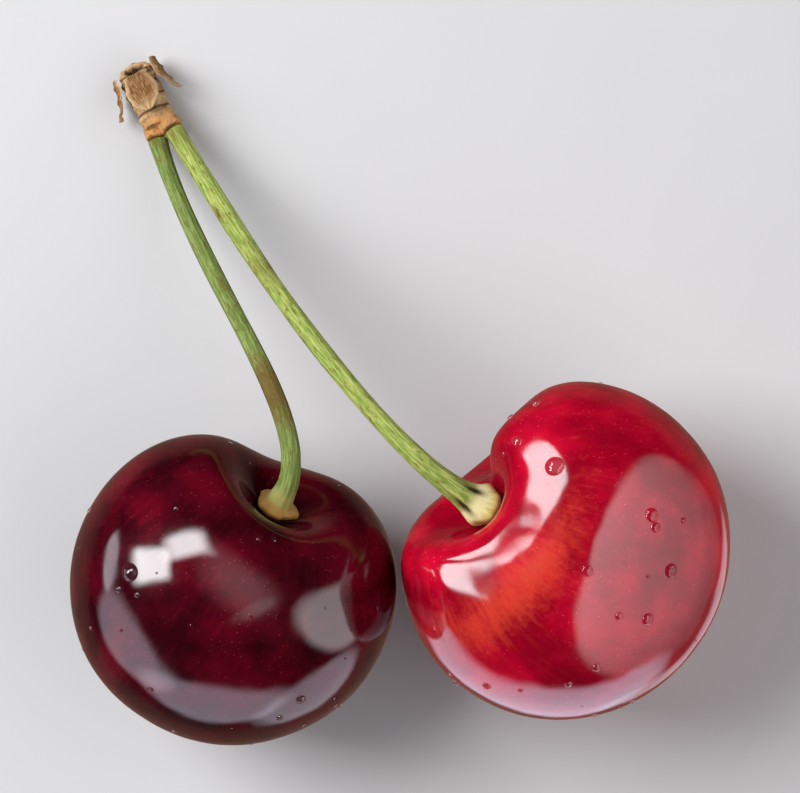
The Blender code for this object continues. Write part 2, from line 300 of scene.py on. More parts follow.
class NodeBook:
    """A material's node tree, with short ways to add and join its nodes."""

    def __init__(self, name: str) -> None:
        """Start a material with one Principled shader.

        Args:
            name: the material's name.
        """
        self.material = bpy.data.materials.new(name)
        self.material.use_nodes = True
        self.tree = self.material.node_tree
        self.shader = self.tree.nodes["Principled BSDF"]
        self.output = self.tree.nodes["Material Output"]

    @classmethod
    def of_tree(cls, tree: bpy.types.NodeTree) -> NodeBook:
        """Open a book on nodes that are already there.

        Args:
            tree: the nodes of a lamp.

        Returns:
            The book, which has no shader of its own.
        """
        book = cls.__new__(cls)
        book.tree = tree
        return book

    def add(self, kind: str, **settings: object) -> bpy.types.Node:
        """Add a node and set its own properties.

        Args:
            kind: the node's type.
            settings: its properties by name.

        Returns:
            The node.
        """
        node = self.tree.nodes.new(kind)
        for key, value in settings.items():
            setattr(node, key, value)
        return node

    def join(self, source: object, target: bpy.types.NodeSocket) -> None:
        """Feed a socket from another socket, or set it to a plain value.

        Args:
            source: the other socket, or the value.
            target: the socket that is fed.
        """
        if isinstance(source, bpy.types.NodeSocket):
            self.tree.links.new(source, target)
        else:
            target.default_value = source

    def set(self, **values: object) -> None:
        """Set the shader's inputs, with underscores for the spaces in their names."""
        for key, value in values.items():
            self.join(value, self.shader.inputs[key.replace("_", " ")])

    def kept(self, name: str, vector: bool = False) -> bpy.types.NodeSocket:
        """Read a number or a vector that the mesh keeps."""
        node = self.add("ShaderNodeAttribute", attribute_name=name)
        return node.outputs["Vector" if vector else "Fac"]

    def place(self) -> bpy.types.NodeSocket:
        """Read the surface's place in metres."""
        return self.add("ShaderNodeTexCoord").outputs["Object"]

    def scaled(
        self, vector: bpy.types.NodeSocket, by: tuple[float, float, float]
    ) -> bpy.types.NodeSocket:
        """Multiply a vector part by part.

        Args:
            vector: the vector.
            by: what X, Y and Z are multiplied by.

        Returns:
            The new vector.
        """
        node = self.add("ShaderNodeVectorMath", operation="MULTIPLY")
        self.join(vector, node.inputs[0])
        node.inputs[1].default_value = by
        return node.outputs[0]

    def noise(
        self, vector: object, scale: float, detail: float = 3.0, rough: float = 0.55
    ) -> bpy.types.NodeSocket:
        """Add a noise pattern, and return its value.

        Args:
            vector: the place that it reads.
            scale: how fine it is.
            detail: how many finer layers it has.
            rough: how strong the finer layers are.

        Returns:
            Its value, mostly near 0.5.
        """
        node = self.add("ShaderNodeTexNoise")
        self.join(vector, node.inputs["Vector"])
        node.inputs["Scale"].default_value = scale
        node.inputs["Detail"].default_value = detail
        node.inputs["Roughness"].default_value = rough
        return node.outputs["Fac"]

    def dots(self, vector: object, scale: float, size: float, soft: float) -> bpy.types.NodeSocket:
        """Add scattered round dots.

        Args:
            vector: the place that it reads.
            scale: dots to a metre.
            size: a dot's radius, as a share of their spacing.
            soft: how far its edge fades, as such a share.

        Returns:
            1 in a dot and 0 between them.
        """
        node = self.add("ShaderNodeTexVoronoi")
        self.join(vector, node.inputs["Vector"])
        node.inputs["Scale"].default_value = scale
        return self.ramp(node.outputs["Distance"], size + soft, size)

    def ramp(self, value: object, low: float, high: float) -> bpy.types.NodeSocket:
        """Map low to 0 and high to 1, held between them and eased.

        Args:
            value: the number.
            low: what becomes 0.
            high: what becomes 1.

        Returns:
            The eased number.
        """
        node = self.add("ShaderNodeMapRange", interpolation_type="SMOOTHSTEP")
        self.join(value, node.inputs["Value"])
        node.inputs["From Min"].default_value = low
        node.inputs["From Max"].default_value = high
        return node.outputs["Result"]

    def maths(self, operation: str, a: object, b: object) -> bpy.types.NodeSocket:
        """Combine two numbers.

        Args:
            operation: how.
            a: the first.
            b: the second.

        Returns:
            The result.
        """
        node = self.add("ShaderNodeMath", operation=operation)
        self.join(a, node.inputs[0])
        self.join(b, node.inputs[1])
        return node.outputs[0]

    def times(self, *parts: object) -> bpy.types.NodeSocket:
        """Multiply numbers together.

        Args:
            parts: the numbers.

        Returns:
            Their product.
        """
        total = parts[0]
        for part in parts[1:]:
            total = self.maths("MULTIPLY", total, part)
        return total

    def mix(self, share: object, a: object, b: object) -> bpy.types.NodeSocket:
        """Mix two colours by a share.

        Args:
            share: 0 gives a, and 1 gives b.
            a: a colour.
            b: a colour.

        Returns:
            The mixed colour.
        """
        node = self.add("ShaderNodeMix", data_type="RGBA")
        self.join(share, node.inputs["Factor"])
        for source, target in ((a, node.inputs[6]), (b, node.inputs[7])):
            self.join((*source, 1.0) if isinstance(source, tuple) else source, target)
        return node.outputs[2]

    def uneven(self, value: object, noise: object, amount: float) -> bpy.types.NodeSocket:
        """Add a noise to a number, about its own middle.

        Args:
            value: the number.
            noise: the pattern.
            amount: how strongly it shows.

        Returns:
            The uneven number.
        """
        return self.maths("ADD", value, self.times(self.maths("SUBTRACT", noise, 0.5), amount))

    def tint(
        self, under: object, over: object, pattern: object, low: float, high: float, share: object = 1.0
    ) -> bpy.types.NodeSocket:
        """Lay a colour over another where a pattern is high.

        Args:
            under: the colour below.
            over: the colour on top.
            pattern: the number that says where.
            low: the pattern's value where none of it shows.
            high: the value where it shows in full.
            share: how much of the colour in full.

        Returns:
            The colour.
        """
        return self.mix(self.times(self.ramp(pattern, low, high), share), under, over)

    def bump(self, height: object, depth: float, strength: float) -> bpy.types.NodeSocket:
        """Turn a height pattern into a bump.

        Args:
            height: the pattern.
            depth: its height in metres.
            strength: how strongly it shows.

        Returns:
            The normal.
        """
        node = self.add("ShaderNodeBump")
        node.inputs["Strength"].default_value = strength
        node.inputs["Distance"].default_value = depth
        self.join(height, node.inputs["Height"])
        return node.outputs["Normal"]


@dataclass(frozen=True)
class SkinFinish:
    """Wet cherry skin: deep translucent colour with fine streaks and pale dots under a clear gloss."""

    name: str
    deep: Colour  # painted shade in the cavity, and where the fruit is ripest
    body: Colour  # over most of the fruit
    light: Colour  # of the lighter streaks, and of the lighter orange band round the stalk end
    dot: Colour  # of the fine dots
    streak: float  # how strongly the streaks show
    glow: float  # how much light passes through the flesh
    roughness: float = 0.07

    def material(self) -> bpy.types.Material:
        """Make the material.

        Returns:
            A material that reads grain, blush, the cavity's painted shade and tip from the mesh.
        """
        book = NodeBook(self.name)
        place = book.place()
        grain = book.kept("grain", vector=True)
        cloud = book.noise(place, 190, 4, 0.55)
        streaks = book.noise(book.scaled(grain, (1, 1, 0.5)), 30, 5, 0.65)
        specks = book.noise(place, 1500, 4, 0.7)
        colour = book.mix(book.ramp(cloud, 0.34, 0.70), self.deep, self.body)
        colour = book.tint(colour, self.light, streaks, 0.50, 0.74, self.streak)
        blush = book.kept("blush")
        for noise, amount in ((streaks, 1.0), (specks, 1.2), (cloud, 0.7)):
            blush = book.uneven(blush, noise, amount)
        # a lighter orange band round the stalk end, set by the fruit's turn in the scene
        colour = book.tint(colour, self.light, blush, 0.14, 1.30, 0.95)
        colour = book.tint(colour, self.deep, specks, 0.56, 0.74, 0.25)
        # painted shade: the skin is darkened towards the deep colour in the stalk cavity
        colour = book.mix(book.times(book.kept("cavity"), 0.85), colour, self.deep)
        small = book.dots(place, 2100, 0.07, 0.09)
        colour = book.mix(book.times(small, book.ramp(cloud, 0.30, 0.65), 0.34), colour, self.dot)
        colour = book.mix(book.kept("tip"), colour, (0.20, 0.10, 0.045))
        height = book.maths("ADD", book.times(small, 0.3), book.times(specks, 0.7))
        normal = book.bump(height, 0.00001, 0.35)
        wet = book.ramp(book.noise(place, 330, 3), 0.35, 0.75)
        rough = book.maths("ADD", book.times(wet, 0.07), self.roughness)
        book.set(
            Base_Color=colour,
            Roughness=rough,
            IOR=1.39,
            Subsurface_Weight=self.glow,
            Subsurface_Radius=(1.0, 0.16, 0.10),
            Subsurface_Scale=0.0016,
            Normal=normal,
        )
        return book.material


@dataclass(frozen=True)
class StalkFinish:
    """A green stalk: fine lengthwise streaks and brown flecks, a yellow pad, a browner fork end."""

    name: str
    green: Colour
    pale: Colour
    pad: Colour
    rim: Colour
    brown: Colour = (0.13, 0.062, 0.018)
    fork_brown: float = 0.5

    def material(self) -> bpy.types.Material:
        """Make the material.

        Returns:
            A material that reads fibre, pad, torn and tan from the mesh.
        """
        book = NodeBook(self.name)
        fibre = book.kept("fibre", vector=True)
        streaks = book.noise(book.scaled(fibre, (1, 1, 0.10)), 5.5, 4, 0.6)
        colour = book.mix(book.ramp(streaks, 0.38, 0.66), self.green, self.pale)
        mottle = book.noise(fibre, 1.4, 4, 0.6)
        colour = book.tint(colour, self.pale, mottle, 0.45, 0.7, 0.35)
        flecks = book.noise(book.scaled(fibre, (1, 1, 0.35)), 3.6, 5, 0.72)
        colour = book.tint(colour, self.brown, flecks, 0.53, 0.66, 0.85)
        stains = book.noise(book.scaled(fibre, (0.8, 0.8, 0.22)), 1.1, 3, 0.6)
        colour = book.tint(colour, self.brown, stains, 0.54, 0.70, 0.45)
        colour = book.tint(colour, self.brown, book.uneven(book.kept("tan"), mottle, 0.8), 0.25, 0.85, 0.8)
        pad = book.kept("pad")
        colour = book.tint(colour, self.pad, pad, 0.05, 0.55)
        colour = book.tint(colour, self.rim, book.uneven(pad, streaks, 0.5), 0.78, 1.02)
        colour = book.mix(book.kept("torn"), colour, (0.03, 0.022, 0.008))
        height = book.maths("ADD", book.times(streaks, 0.8), book.times(flecks, 0.5))
        book.set(
            Base_Color=colour,
            Roughness=book.maths("ADD", book.times(mottle, 0.25), 0.38),
            Specular_IOR_Level=0.22,
            Subsurface_Weight=0.12,
            Subsurface_Radius=(0.6, 0.7, 0.2),
            Subsurface_Scale=0.0006,
            Normal=book.bump(height, 0.00008, 0.8),
        )
        return book.material


@dataclass(frozen=True)
class BarkFinish:
    """Tan bark of a fruiting spur, darker in its ringed scars and in its broken end."""

    name: str
    light: Colour
    mid: Colour
    dark: Colour
    collar: Colour

    def material(self) -> bpy.types.Material:
        """Make the material.

        Returns:
            A material that reads scar, pith and collar from the mesh.
        """
        book = NodeBook(self.name)
        place = book.place()
        cloud = book.noise(place, 900, 5, 0.65)
        colour = book.mix(book.ramp(cloud, 0.34, 0.62), self.mid, self.light)
        collar = book.kept("collar")
        colour = book.mix(book.times(collar, book.ramp(cloud, 0.3, 0.6)), colour, self.collar)
        specks = book.noise(place, 3600, 4, 0.7)
        colour = book.tint(colour, self.dark, specks, 0.55, 0.68, 0.6)
        colour = book.tint(colour, self.dark, book.uneven(book.kept("scar"), cloud, 0.7), 0.35, 0.9, 0.85)
        colour = book.mix(book.kept("pith"), colour, (0.035, 0.017, 0.008))
        height = book.maths("ADD", cloud, book.times(specks, 0.5))
        book.set(
            Base_Color=colour,
            Roughness=book.maths("ADD", book.times(specks, 0.3), 0.5),
            Specular_IOR_Level=0.15,
            Normal=book.bump(height, 0.00012, 0.8),
        )
        return book.material


@dataclass(frozen=True)
class HuskFinish:
    """Thin dry brown husk of a bud scale, veined lengthwise and paler at its edges."""

    name: str
    brown: Colour
    pale: Colour
    edge: Colour

    def material(self) -> bpy.types.Material:
        """Make the material.

        Returns:
            A material that reads vein and edge from the mesh.
        """
        book = NodeBook(self.name)
        vein = book.kept("vein", vector=True)
        lines = book.noise(book.scaled(vein, (1, 0.12, 1)), 13, 3, 0.6)
        colour = book.mix(book.ramp(lines, 0.40, 0.64), self.brown, self.pale)
        blot = book.noise(vein, 2.6, 4, 0.6)
        colour = book.tint(colour, self.brown, blot, 0.5, 0.72, 0.6)
        colour = book.tint(colour, self.edge, book.kept("edge"), 0.55, 1.0)
        book.set(
            Base_Color=colour,
            Roughness=book.maths("ADD", book.times(blot, 0.25), 0.5),
            Specular_IOR_Level=0.15,
            Subsurface_Weight=0.1,
            Subsurface_Radius=(1.0, 0.5, 0.2),
            Subsurface_Scale=0.0004,
            Normal=book.bump(lines, 0.00008, 0.8),
        )
        return book.material


@dataclass(frozen=True)
class WaterFinish:
    """Clear water, which lets lamps through to the skin under it."""

    name: str

    def material(self) -> bpy.types.Material:
        """Make the material.

        Returns:
            A clear material that casts no shadow.
        """
        book = NodeBook(self.name)
        book.set(Base_Color=(1, 1, 1, 1), Roughness=0.0, IOR=1.333, Transmission_Weight=1.0)
        clear = book.add("ShaderNodeBsdfTransparent")
        mix = book.add("ShaderNodeMixShader")
        path = book.add("ShaderNodeLightPath")
        book.join(path.outputs["Is Shadow Ray"], mix.inputs[0])
        book.join(book.shader.outputs[0], mix.inputs[1])
        book.join(clear.outputs[0], mix.inputs[2])
        book.join(mix.outputs[0], book.output.inputs["Surface"])
        return book.material


# ---------------------------------------------------------------- the cherries


@dataclass
class Cherry:
    """One fruit. Its own +Z is the core axis, stalk end up, and its cheeks are at its own +X and -X."""

    node: str
    slot: str
    width: float  # across both cheeks
    thickness: float  # square to the width
    half_height: float  # from the middle to the blossom end
    cavity_depth: float
    cavity_radius: float
    shoulder_rise: float  # how far the cheeks' shoulders stand above the mean rim
    shoulder_lean: float  # how much more than that the shoulder at its own +X does
    suture: float  # where the suture is round the core, degrees from its own +X
    notch_depth: float  # how far the suture cuts the cavity's rim
    heading: float  # plan direction of the stalk end, degrees from +X
    tilt: float  # rise of the stalk end above level, degrees
    turn: float  # turn about the core axis, degrees
    finish: SkinFinish
    seed: int
    blush_ring: float = 49.0  # degrees from the stalk end to the lightest skin
    blush_width: float = 12.0  # half width of that band, degrees
    blush_round: float = 62.0  # its middle round the core, degrees from level
    blush_reach: float = 58.0  # how far round it runs each way, degrees
    blush: float = 0.0  # how strong it is
    matrix: Matrix = field(default_factory=Matrix)
    piece: bpy.types.Object | None = None

    EGG = 0.055
    FULLNESS = 0.022
    SHOULDER_RADIUS = 0.0070
    SHOULDER_SPREAD = 0.0034
    NOTCH_RADIUS = 0.0080
    NOTCH_REACH = 0.0045
    NOTCH_SPREAD = 0.58
    NOTCH_CLEAR = 0.0020
    FURROW_DEPTH = 0.00022
    FURROW_SPREAD = 0.20
    TIP_DIMPLE = 0.0005
    TIP_RADIUS = 0.0017
    SWELL = 0.00003  # height of the skin's slow unevenness
    SWELL_LENGTH = 0.0085
    PUCKER = 0.000006  # height of its finer unevenness
    PUCKER_LENGTH = 0.0026
    END_FADE = 0.3  # an end's own shape is in full where the cosine of the angle from it is over this
    CROWDING = 1.1  # over 1, the rings crowd towards the stalk end
    GRAIN_RUN = 0.30  # how drawn out the grain is from end to end
    SHADE_REACH = 0.85  # the cavity's shade, as a share of the cavity's radius
    SCAR_RADIUS = 0.00035  # of the brown dot at the blossom end

    def girth(self, theta: np.ndarray) -> np.ndarray:
        """Give the outline's half width at angles from the stalk end, before it is scaled."""
        full = 1 + self.FULLNESS * np.sin(2 * theta) ** 2
        return np.sin(theta) * (1 + self.EGG * np.cos(theta)) * full

    def skin(self, theta: np.ndarray, phi: np.ndarray) -> np.ndarray:
        """Give the skin's points.

        Args:
            theta: angles from the stalk end.
            phi: angles round the core.

        Returns:
            The places, with the last axis X, Y and Z.
        """
        widest = self.girth(np.linspace(0, math.pi, 721)).max()
        off_suture = wrapped(phi - math.radians(self.suture))
        furrow = bell(off_suture, self.FURROW_SPREAD) * self.FURROW_DEPTH * np.sin(theta) ** 2
        out = self.girth(theta) / widest
        x = (self.width / 2 * out - furrow) * np.cos(phi)
        y = (self.thickness / 2 * out - furrow) * np.sin(phi)
        r = np.hypot(x, y)
        top = smoothstep(np.cos(theta) / self.END_FADE)
        bottom = smoothstep(-np.cos(theta) / self.END_FADE)
        z = self.half_height * np.cos(theta) * (1 + self.FULLNESS * np.sin(2 * theta) ** 2)
        z = z - top * self.cavity_depth * bell(r, self.cavity_radius)
        on_shoulder = bell(r - self.SHOULDER_RADIUS, self.SHOULDER_SPREAD)
        rise = self.shoulder_rise * np.cos(2 * phi) + self.shoulder_lean * np.cos(phi)
        z = z + top * rise * on_shoulder
        cut = bell(r - self.NOTCH_RADIUS, self.NOTCH_REACH) * (1 - bell(r, self.NOTCH_CLEAR))
        z = z - top * self.notch_depth * bell(off_suture, self.NOTCH_SPREAD) * cut
        z = z + bottom * self.TIP_DIMPLE * bell(r, self.TIP_RADIUS)
        return np.stack([x, y, z], axis=-1)

    def cavity_floor(self, radius: float = 0.0) -> float:
        """Give the height of the cavity's floor at a distance from the core, at its highest.

        Args:
            radius: the distance from the core.

        Returns:
            The height, in the fruit's own frame.
        """
        theta = np.linspace(0, math.radians(60), 400)
        heights = []
        for phi in np.linspace(0, 2 * math.pi, 24, endpoint=False):
            points = self.skin(theta, np.full_like(theta, phi))
            heights.append(np.interp(radius, np.hypot(points[:, 0], points[:, 1]), points[:, 2]))
        return float(max(heights))

    def rotation(self) -> Matrix:
        """Give how the fruit lies."""
        lean = frame_along(heading_vector(self.heading, self.tilt))
        return lean @ Matrix.Rotation(math.radians(self.turn), 3, "Z")

    def place(self) -> None:
        """Find where the fruit's middle is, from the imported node's box."""
        low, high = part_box(self.node)
        theta, phi = np.meshgrid(np.linspace(0, math.pi, 200), np.linspace(0, 2 * math.pi, 240))
        turned = self.skin(theta, phi).reshape(-1, 3) @ np.array(self.rotation()).T
        own_low, own_high = turned.min(axis=0), turned.max(axis=0)
        middle = Vector((0, 0, high.z - own_high[2]))
        for k in (0, 1):
            middle[k] = (low[k] + high[k]) / 2 - (own_low[k] + own_high[k]) / 2
        self.matrix = Matrix.Translation(middle) @ self.rotation().to_4x4()

    def build(self) -> bpy.types.Object:
        """Grow the fine skin and dress it.

        Returns:
            The fruit's piece.
        """
        steps, sides = Quality.SKIN.value
        theta = math.pi * (np.arange(1, steps) / steps) ** self.CROWDING
        phi = np.linspace(0, 2 * math.pi, sides, endpoint=False)
        grid_theta, grid_phi = np.meshgrid(theta, phi, indexing="ij")
        rings = self.skin(grid_theta, grid_phi)
        flat = rings.reshape(-1, 3)
        outward = flat / np.linalg.norm(flat, axis=1)[:, None]
        uneven = self.SWELL * ripples(flat, self.SWELL_LENGTH, self.seed)
        uneven += self.PUCKER * ripples(flat, self.PUCKER_LENGTH, self.seed + 1)
        rings = (flat + outward * uneven[:, None]).reshape(rings.shape)
        top, bottom = rings[0].mean(axis=0), rings[-1].mean(axis=0)
        mesh = closed_mesh(f"{self.node}_skin", rings, top, bottom)
        self.mark(mesh, grid_theta.ravel(), grid_phi.ravel())
        mesh.transform(self.matrix)
        self.press_flat(mesh)
        material = self.finish.material()
        self.piece = add_piece(f"{self.node}_skin", mesh, material, self.slot, self.node)
        return self.piece

    def mark(self, mesh: bpy.types.Mesh, theta: np.ndarray, phi: np.ndarray) -> None:
        """Keep what the finish reads: the grain from end to end, the blush, the cavity's painted shade and
        the tip.

        Args:
            mesh: the skin, its points in ring order and then its two ends.
            theta: each ring point's angle from the stalk end.
            phi: each ring point's angle round the core.
        """
        theta = np.append(theta, (0.0, math.pi))
        phi = np.append(phi, (0.0, 0.0))
        grain = np.stack([np.cos(phi), np.sin(phi), self.GRAIN_RUN * theta], axis=1)
        keep(mesh, "grain", grain)
        view_phi = wrapped(phi + math.radians(self.turn) - math.radians(self.blush_round))
        ring = bell(np.degrees(theta) - self.blush_ring, self.blush_width)
        keep(mesh, "blush", self.blush * ring * bell(np.degrees(view_phi), self.blush_reach))
        points = places_of(mesh)
        radius = np.hypot(points[:, 0], points[:, 1])
        near_top = smoothstep(np.cos(theta) / self.END_FADE)
        # painted shade: how much the cavity is darkened, strongest at the core
        keep(mesh, "cavity", near_top * bell(radius, self.cavity_radius * self.SHADE_REACH))
        near_tip = smoothstep(-np.cos(theta) / self.END_FADE)
        keep(mesh, "tip", near_tip * (1 - rise_from(radius, self.SCAR_RADIUS, self.SCAR_RADIUS)))

    def press_flat(self, mesh: bpy.types.Mesh) -> None:
        """Cut the fruit off level with the surface it rests on, which leaves its small flat.

        Args:
            mesh: the skin in place, changed as it stands.
        """
        bm = bmesh.new()
        bm.from_mesh(mesh)
        parts = bm.verts[:] + bm.edges[:] + bm.faces[:]
        up = Vector((0, 0, 1))
        bmesh.ops.bisect_plane(
            bm, geom=parts, dist=1e-7, plane_co=Vector(), plane_no=up, clear_inner=True
        )
        rim = [edge for edge in bm.edges if edge.is_boundary]
        bmesh.ops.holes_fill(bm, edges=rim)
        bmesh.ops.recalc_face_normals(bm, faces=bm.faces)
        bm.to_mesh(mesh)
        bm.free()


# ---------------------------------------------------------------- the spur


@dataclass
class Spur:
    """The short woody spur: ringed wood, an oblique broken end, and a collar for each stalk."""

    node: str = "spur"
    length: float = 0.0060
    radius: float = 0.00142
    bearing: float = 116.0
    drop: float = 8.0
    scars: int = 5
    ridge: float = 0.00013
    collar_lip: float = 0.00010
    collar_apart: float = 0.00007
    collar_length: float = 0.0018
    collar_rise: float = 10.0
    collar_roll: float = 35.0
    widening: float = 0.12
    voxel: float = 0.00007
    matrix: Matrix = field(default_factory=Matrix)

    STEADY = 0.80  # share of the radius that is the same all along
    BULGE = 0.20  # share that swells in the middle
    RIDGE_AT = 0.36  # where a ridge is between two scars, as a share
    RIDGE_SPREAD = 0.16
    KNOB = 0.05  # how oval the wood is, as a share of its radius
    KNOB_TWIST = 900  # how fast that turns, radians to a metre
    BREAK_REACH = 0.35  # how much of the length the slanted break takes
    BREAK_SLANT = 0.55
    PIT = ((0.50, 0.00050), (0.60, 0.00038), (0.70, 0.00006), (0.86, -0.00004))  # radius share, depth
    END_RISE = 0.0004  # how far the wood's other end domes
    COLLAR_SHAPE = (  # (share of its length back from the mouth, share of its radius)
        (0, 0.80), (0.03, 0.93), (0.10, 1.0), (0.3, 1.0), (0.5, 0.97), (0.8, 0.9), (1, 0.82),
    )
    LUMPS = ((0.00007, 0.0013, 11), (0.000025, 0.0004, 12))  # height, wavelength, seed
    SCAR_AT = 0.02  # where a scar is in its ring, as a share
    SCAR_SPREAD = 0.13

    def place(self, middle: Vector, along: Vector, across: Vector, aside: float, out: float) -> None:
        """Find where the spur lies.

        Args:
            middle: the middle of the line between the fruits.
            along: the plan direction of that line.
            across: the plan direction from the fruits to the fork.
            aside: how far the fork is along the line.
            out: how far it stands out from the line.
        """
        rotation = frame_along(heading_vector(self.bearing + 180, self.drop))
        fork = middle + along * aside + across * out
        broken_end = fork - rotation @ Vector((0, 0, self.length))
        low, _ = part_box(self.node)
        lowest = min((rotation @ Vector(p)).z for p in self.wood().reshape(-1, 3))
        broken_end.z = low.z - lowest
        self.matrix = Matrix.Translation(broken_end) @ rotation.to_4x4()

    def radius_at(self, along: np.ndarray) -> tuple[np.ndarray, np.ndarray]:
        """Give the wood's radius and its widening at distances from the broken end.

        Args:
            along: the distances.

        Returns:
            The radii, and how much wider than high the wood is at each.
        """
        share = np.clip(along / self.length, 0, 1)
        swell = self.STEADY + self.BULGE * np.sin(math.pi * (0.15 + 0.7 * share))
        phase = (share * self.scars) % 1.0
        ridge = self.ridge * bell(phase - self.RIDGE_AT, self.RIDGE_SPREAD)
        return self.radius * swell + ridge, 1 + self.widening * share**2

    def wood(self) -> np.ndarray:
        """Give the rings of the bare wood, without its ends.

        Returns:
            Rings by sides by 3, in the spur's frame.
        """
        along = np.linspace(0, self.length, 90)
        radius, wider = self.radius_at(along)
        a = np.linspace(0, 2 * math.pi, 72, endpoint=False)
        knobbly = 1 + self.KNOB * np.sin(2 * a[None, :] + along[:, None] * self.KNOB_TWIST)
        r = radius[:, None] * knobbly
        x = r * wider[:, None] * np.cos(a)
        y = r * np.sin(a)
        near_break = np.clip(1 - along / (self.BREAK_REACH * self.length), 0, 1)
        slant = near_break[:, None] * self.BREAK_SLANT
        z = along[:, None] + slant * (y + self.radius)
        return np.stack([x, y, np.broadcast_to(z, x.shape)], axis=-1)

    def collar_radius(self, stalk: Stalk) -> float:
        """Give a collar's radius: its stalk's foot and a lip."""
        return stalk.foot_radius + self.collar_lip

    def collar_frame(self, stalk: Stalk, spacing: float) -> Matrix:
        """Give where a collar's mouth is in the spur's frame, facing out along its own Z.

        Args:
            stalk: the stalk that leaves it.
            spacing: between the two collars' mouths.

        Returns:
            The mouth's place and turn.
        """
        lean = Matrix.Rotation(math.radians(stalk.collar_turn), 3, "Y")
        rise = Matrix.Rotation(math.radians(self.collar_rise), 3, "X").inverted()
        roll = math.radians(self.collar_roll)
        aside = Vector((math.cos(roll), math.sin(roll), 0)) * (stalk.collar_side * spacing / 2)
        mouth = aside + Vector((0, 0, self.length + self.collar_length / 2))
        return Matrix.Translation(mouth) @ (rise @ lean).to_4x4()

    def collar(self, stalk: Stalk, spacing: float) -> np.ndarray:
        """Give the rings of one collar in the spur's frame.

        Args:
            stalk: the stalk that leaves it.
            spacing: between the two collars' mouths.

        Returns:
            Rings by sides by 3.
        """
        frame = np.array(self.collar_frame(stalk, spacing))
        a = np.linspace(0, 2 * math.pi, 40, endpoint=False)
        rings = []
        for down, share in self.COLLAR_SHAPE:
            r = self.collar_radius(stalk) * share
            z = np.full_like(a, -down * self.collar_length)
            ring = np.stack([r * np.cos(a), r * np.sin(a), z, np.ones_like(a)])
            rings.append((frame @ ring)[:3].T)
        return np.array(rings)

    def build(self, stalks: list[Stalk], spacing: float, finish: BarkFinish) -> bpy.types.Object:
        """Melt the wood and the collars into one knobbly solid and dress it.

        Args:
            stalks: the stalks that leave the spur.
            spacing: between the two collars' mouths.
            finish: its bark.

        Returns:
            The spur's piece.
        """
        wood = self.wood()
        pit = wood[0].mean(axis=0)
        inner = [
            pit + (wood[0] - pit) * share + np.array([0, 0, depth]) for share, depth in self.PIT
        ]
        rings = np.concatenate([np.array(inner), wood])
        end = wood[-1].mean(axis=0) + (0, 0, self.END_RISE)
        meshes = [closed_mesh("wood", rings, inner[0].mean(axis=0), end)]
        meshes += [closed_mesh("collar", self.collar(stalk, spacing), None, None) for stalk in stalks]
        bm = bmesh.new()
        for mesh in meshes:
            face_out(mesh)
            bm.from_mesh(mesh)
            bpy.data.meshes.remove(mesh)
        whole = bpy.data.meshes.new("spur_wood")
        bm.to_mesh(whole)
        bm.free()
        whole = melted(whole, self.voxel)
        self.roughen(whole)
        self.mark(whole)
        whole.transform(self.matrix)
        lift_to_floor(whole)
        return add_piece("spur_wood", whole, finish.material(), "spur_wood", self.node)

    def roughen(self, mesh: bpy.types.Mesh) -> None:
        """Give the wood its lumps and its bark's small grain.

        Args:
            mesh: the wood, changed as it stands.
        """
        mesh.update()
        normals = np.empty(len(mesh.vertices) * 3)
        mesh.vertices.foreach_get("normal", normals)
        places = places_of(mesh)
        lumps = sum(height * ripples(places, length, seed) for height, length, seed in self.LUMPS)
        set_places(mesh, places + normals.reshape(-1, 3) * lumps[:, None])

    def mark(self, mesh: bpy.types.Mesh) -> None:
        """Keep what the finish reads: the scars, the broken end's pith, and the collars.

        Args:
            mesh: the wood, in the spur's frame.
        """
        places = places_of(mesh)
        share = places[:, 2] / self.length
        phase = (share * self.scars) % 1.0
        on_wood = 1 - rise_from(share, 0.92, 0.1)
        near = [bell(phase - self.SCAR_AT - turn, self.SCAR_SPREAD) for turn in (0, 1)]
        keep(mesh, "scar", near[0] * on_wood + near[1] * on_wood)
        ring = self.wood()[0]
        centre = ring.mean(axis=0)
        reach = np.linalg.norm(ring - centre, axis=1).mean()
        away = np.linalg.norm(places - centre, axis=1) / reach
        keep(mesh, "pith", 1 - rise_from(away, 0.52, 0.22))
        keep(mesh, "collar", rise_from(share, 0.80, 0.25))


def melted(mesh: bpy.types.Mesh, voxel: float) -> bpy.types.Mesh:
    """Join the overlapping solids of a mesh into one, with soft inner corners.

    Args:
        mesh: closed solids that overlap. It is used up.
        voxel: how fine the new surface is.

    Returns:
        The new mesh.
    """
    scratch = bpy.data.objects.new("scratch", mesh)
    bpy.context.scene.collection.objects.link(scratch)
    remesh = scratch.modifiers.new("one_skin", "REMESH")
    remesh.mode = "VOXEL"
    remesh.voxel_size = voxel
    smooth = scratch.modifiers.new("soften", "SMOOTH")
    smooth.factor = 0.5
    smooth.iterations = 5
    bpy.context.view_layer.update()
    ready = scratch.evaluated_get(bpy.context.evaluated_depsgraph_get())
    result = bpy.data.meshes.new_from_object(ready)
    bpy.data.objects.remove(scratch)
    bpy.data.meshes.remove(mesh)
    return result


def lift_to_floor(mesh: bpy.types.Mesh) -> None:
    """Raise a mesh in place until no point is under the surface it lies on.

    Args:
        mesh: the mesh.
    """
    lowest = places_of(mesh)[:, 2].min()
    if lowest < 0:
        mesh.transform(Matrix.Translation((0, 0, -lowest)))


# ---------------------------------------------------------------- the stalks


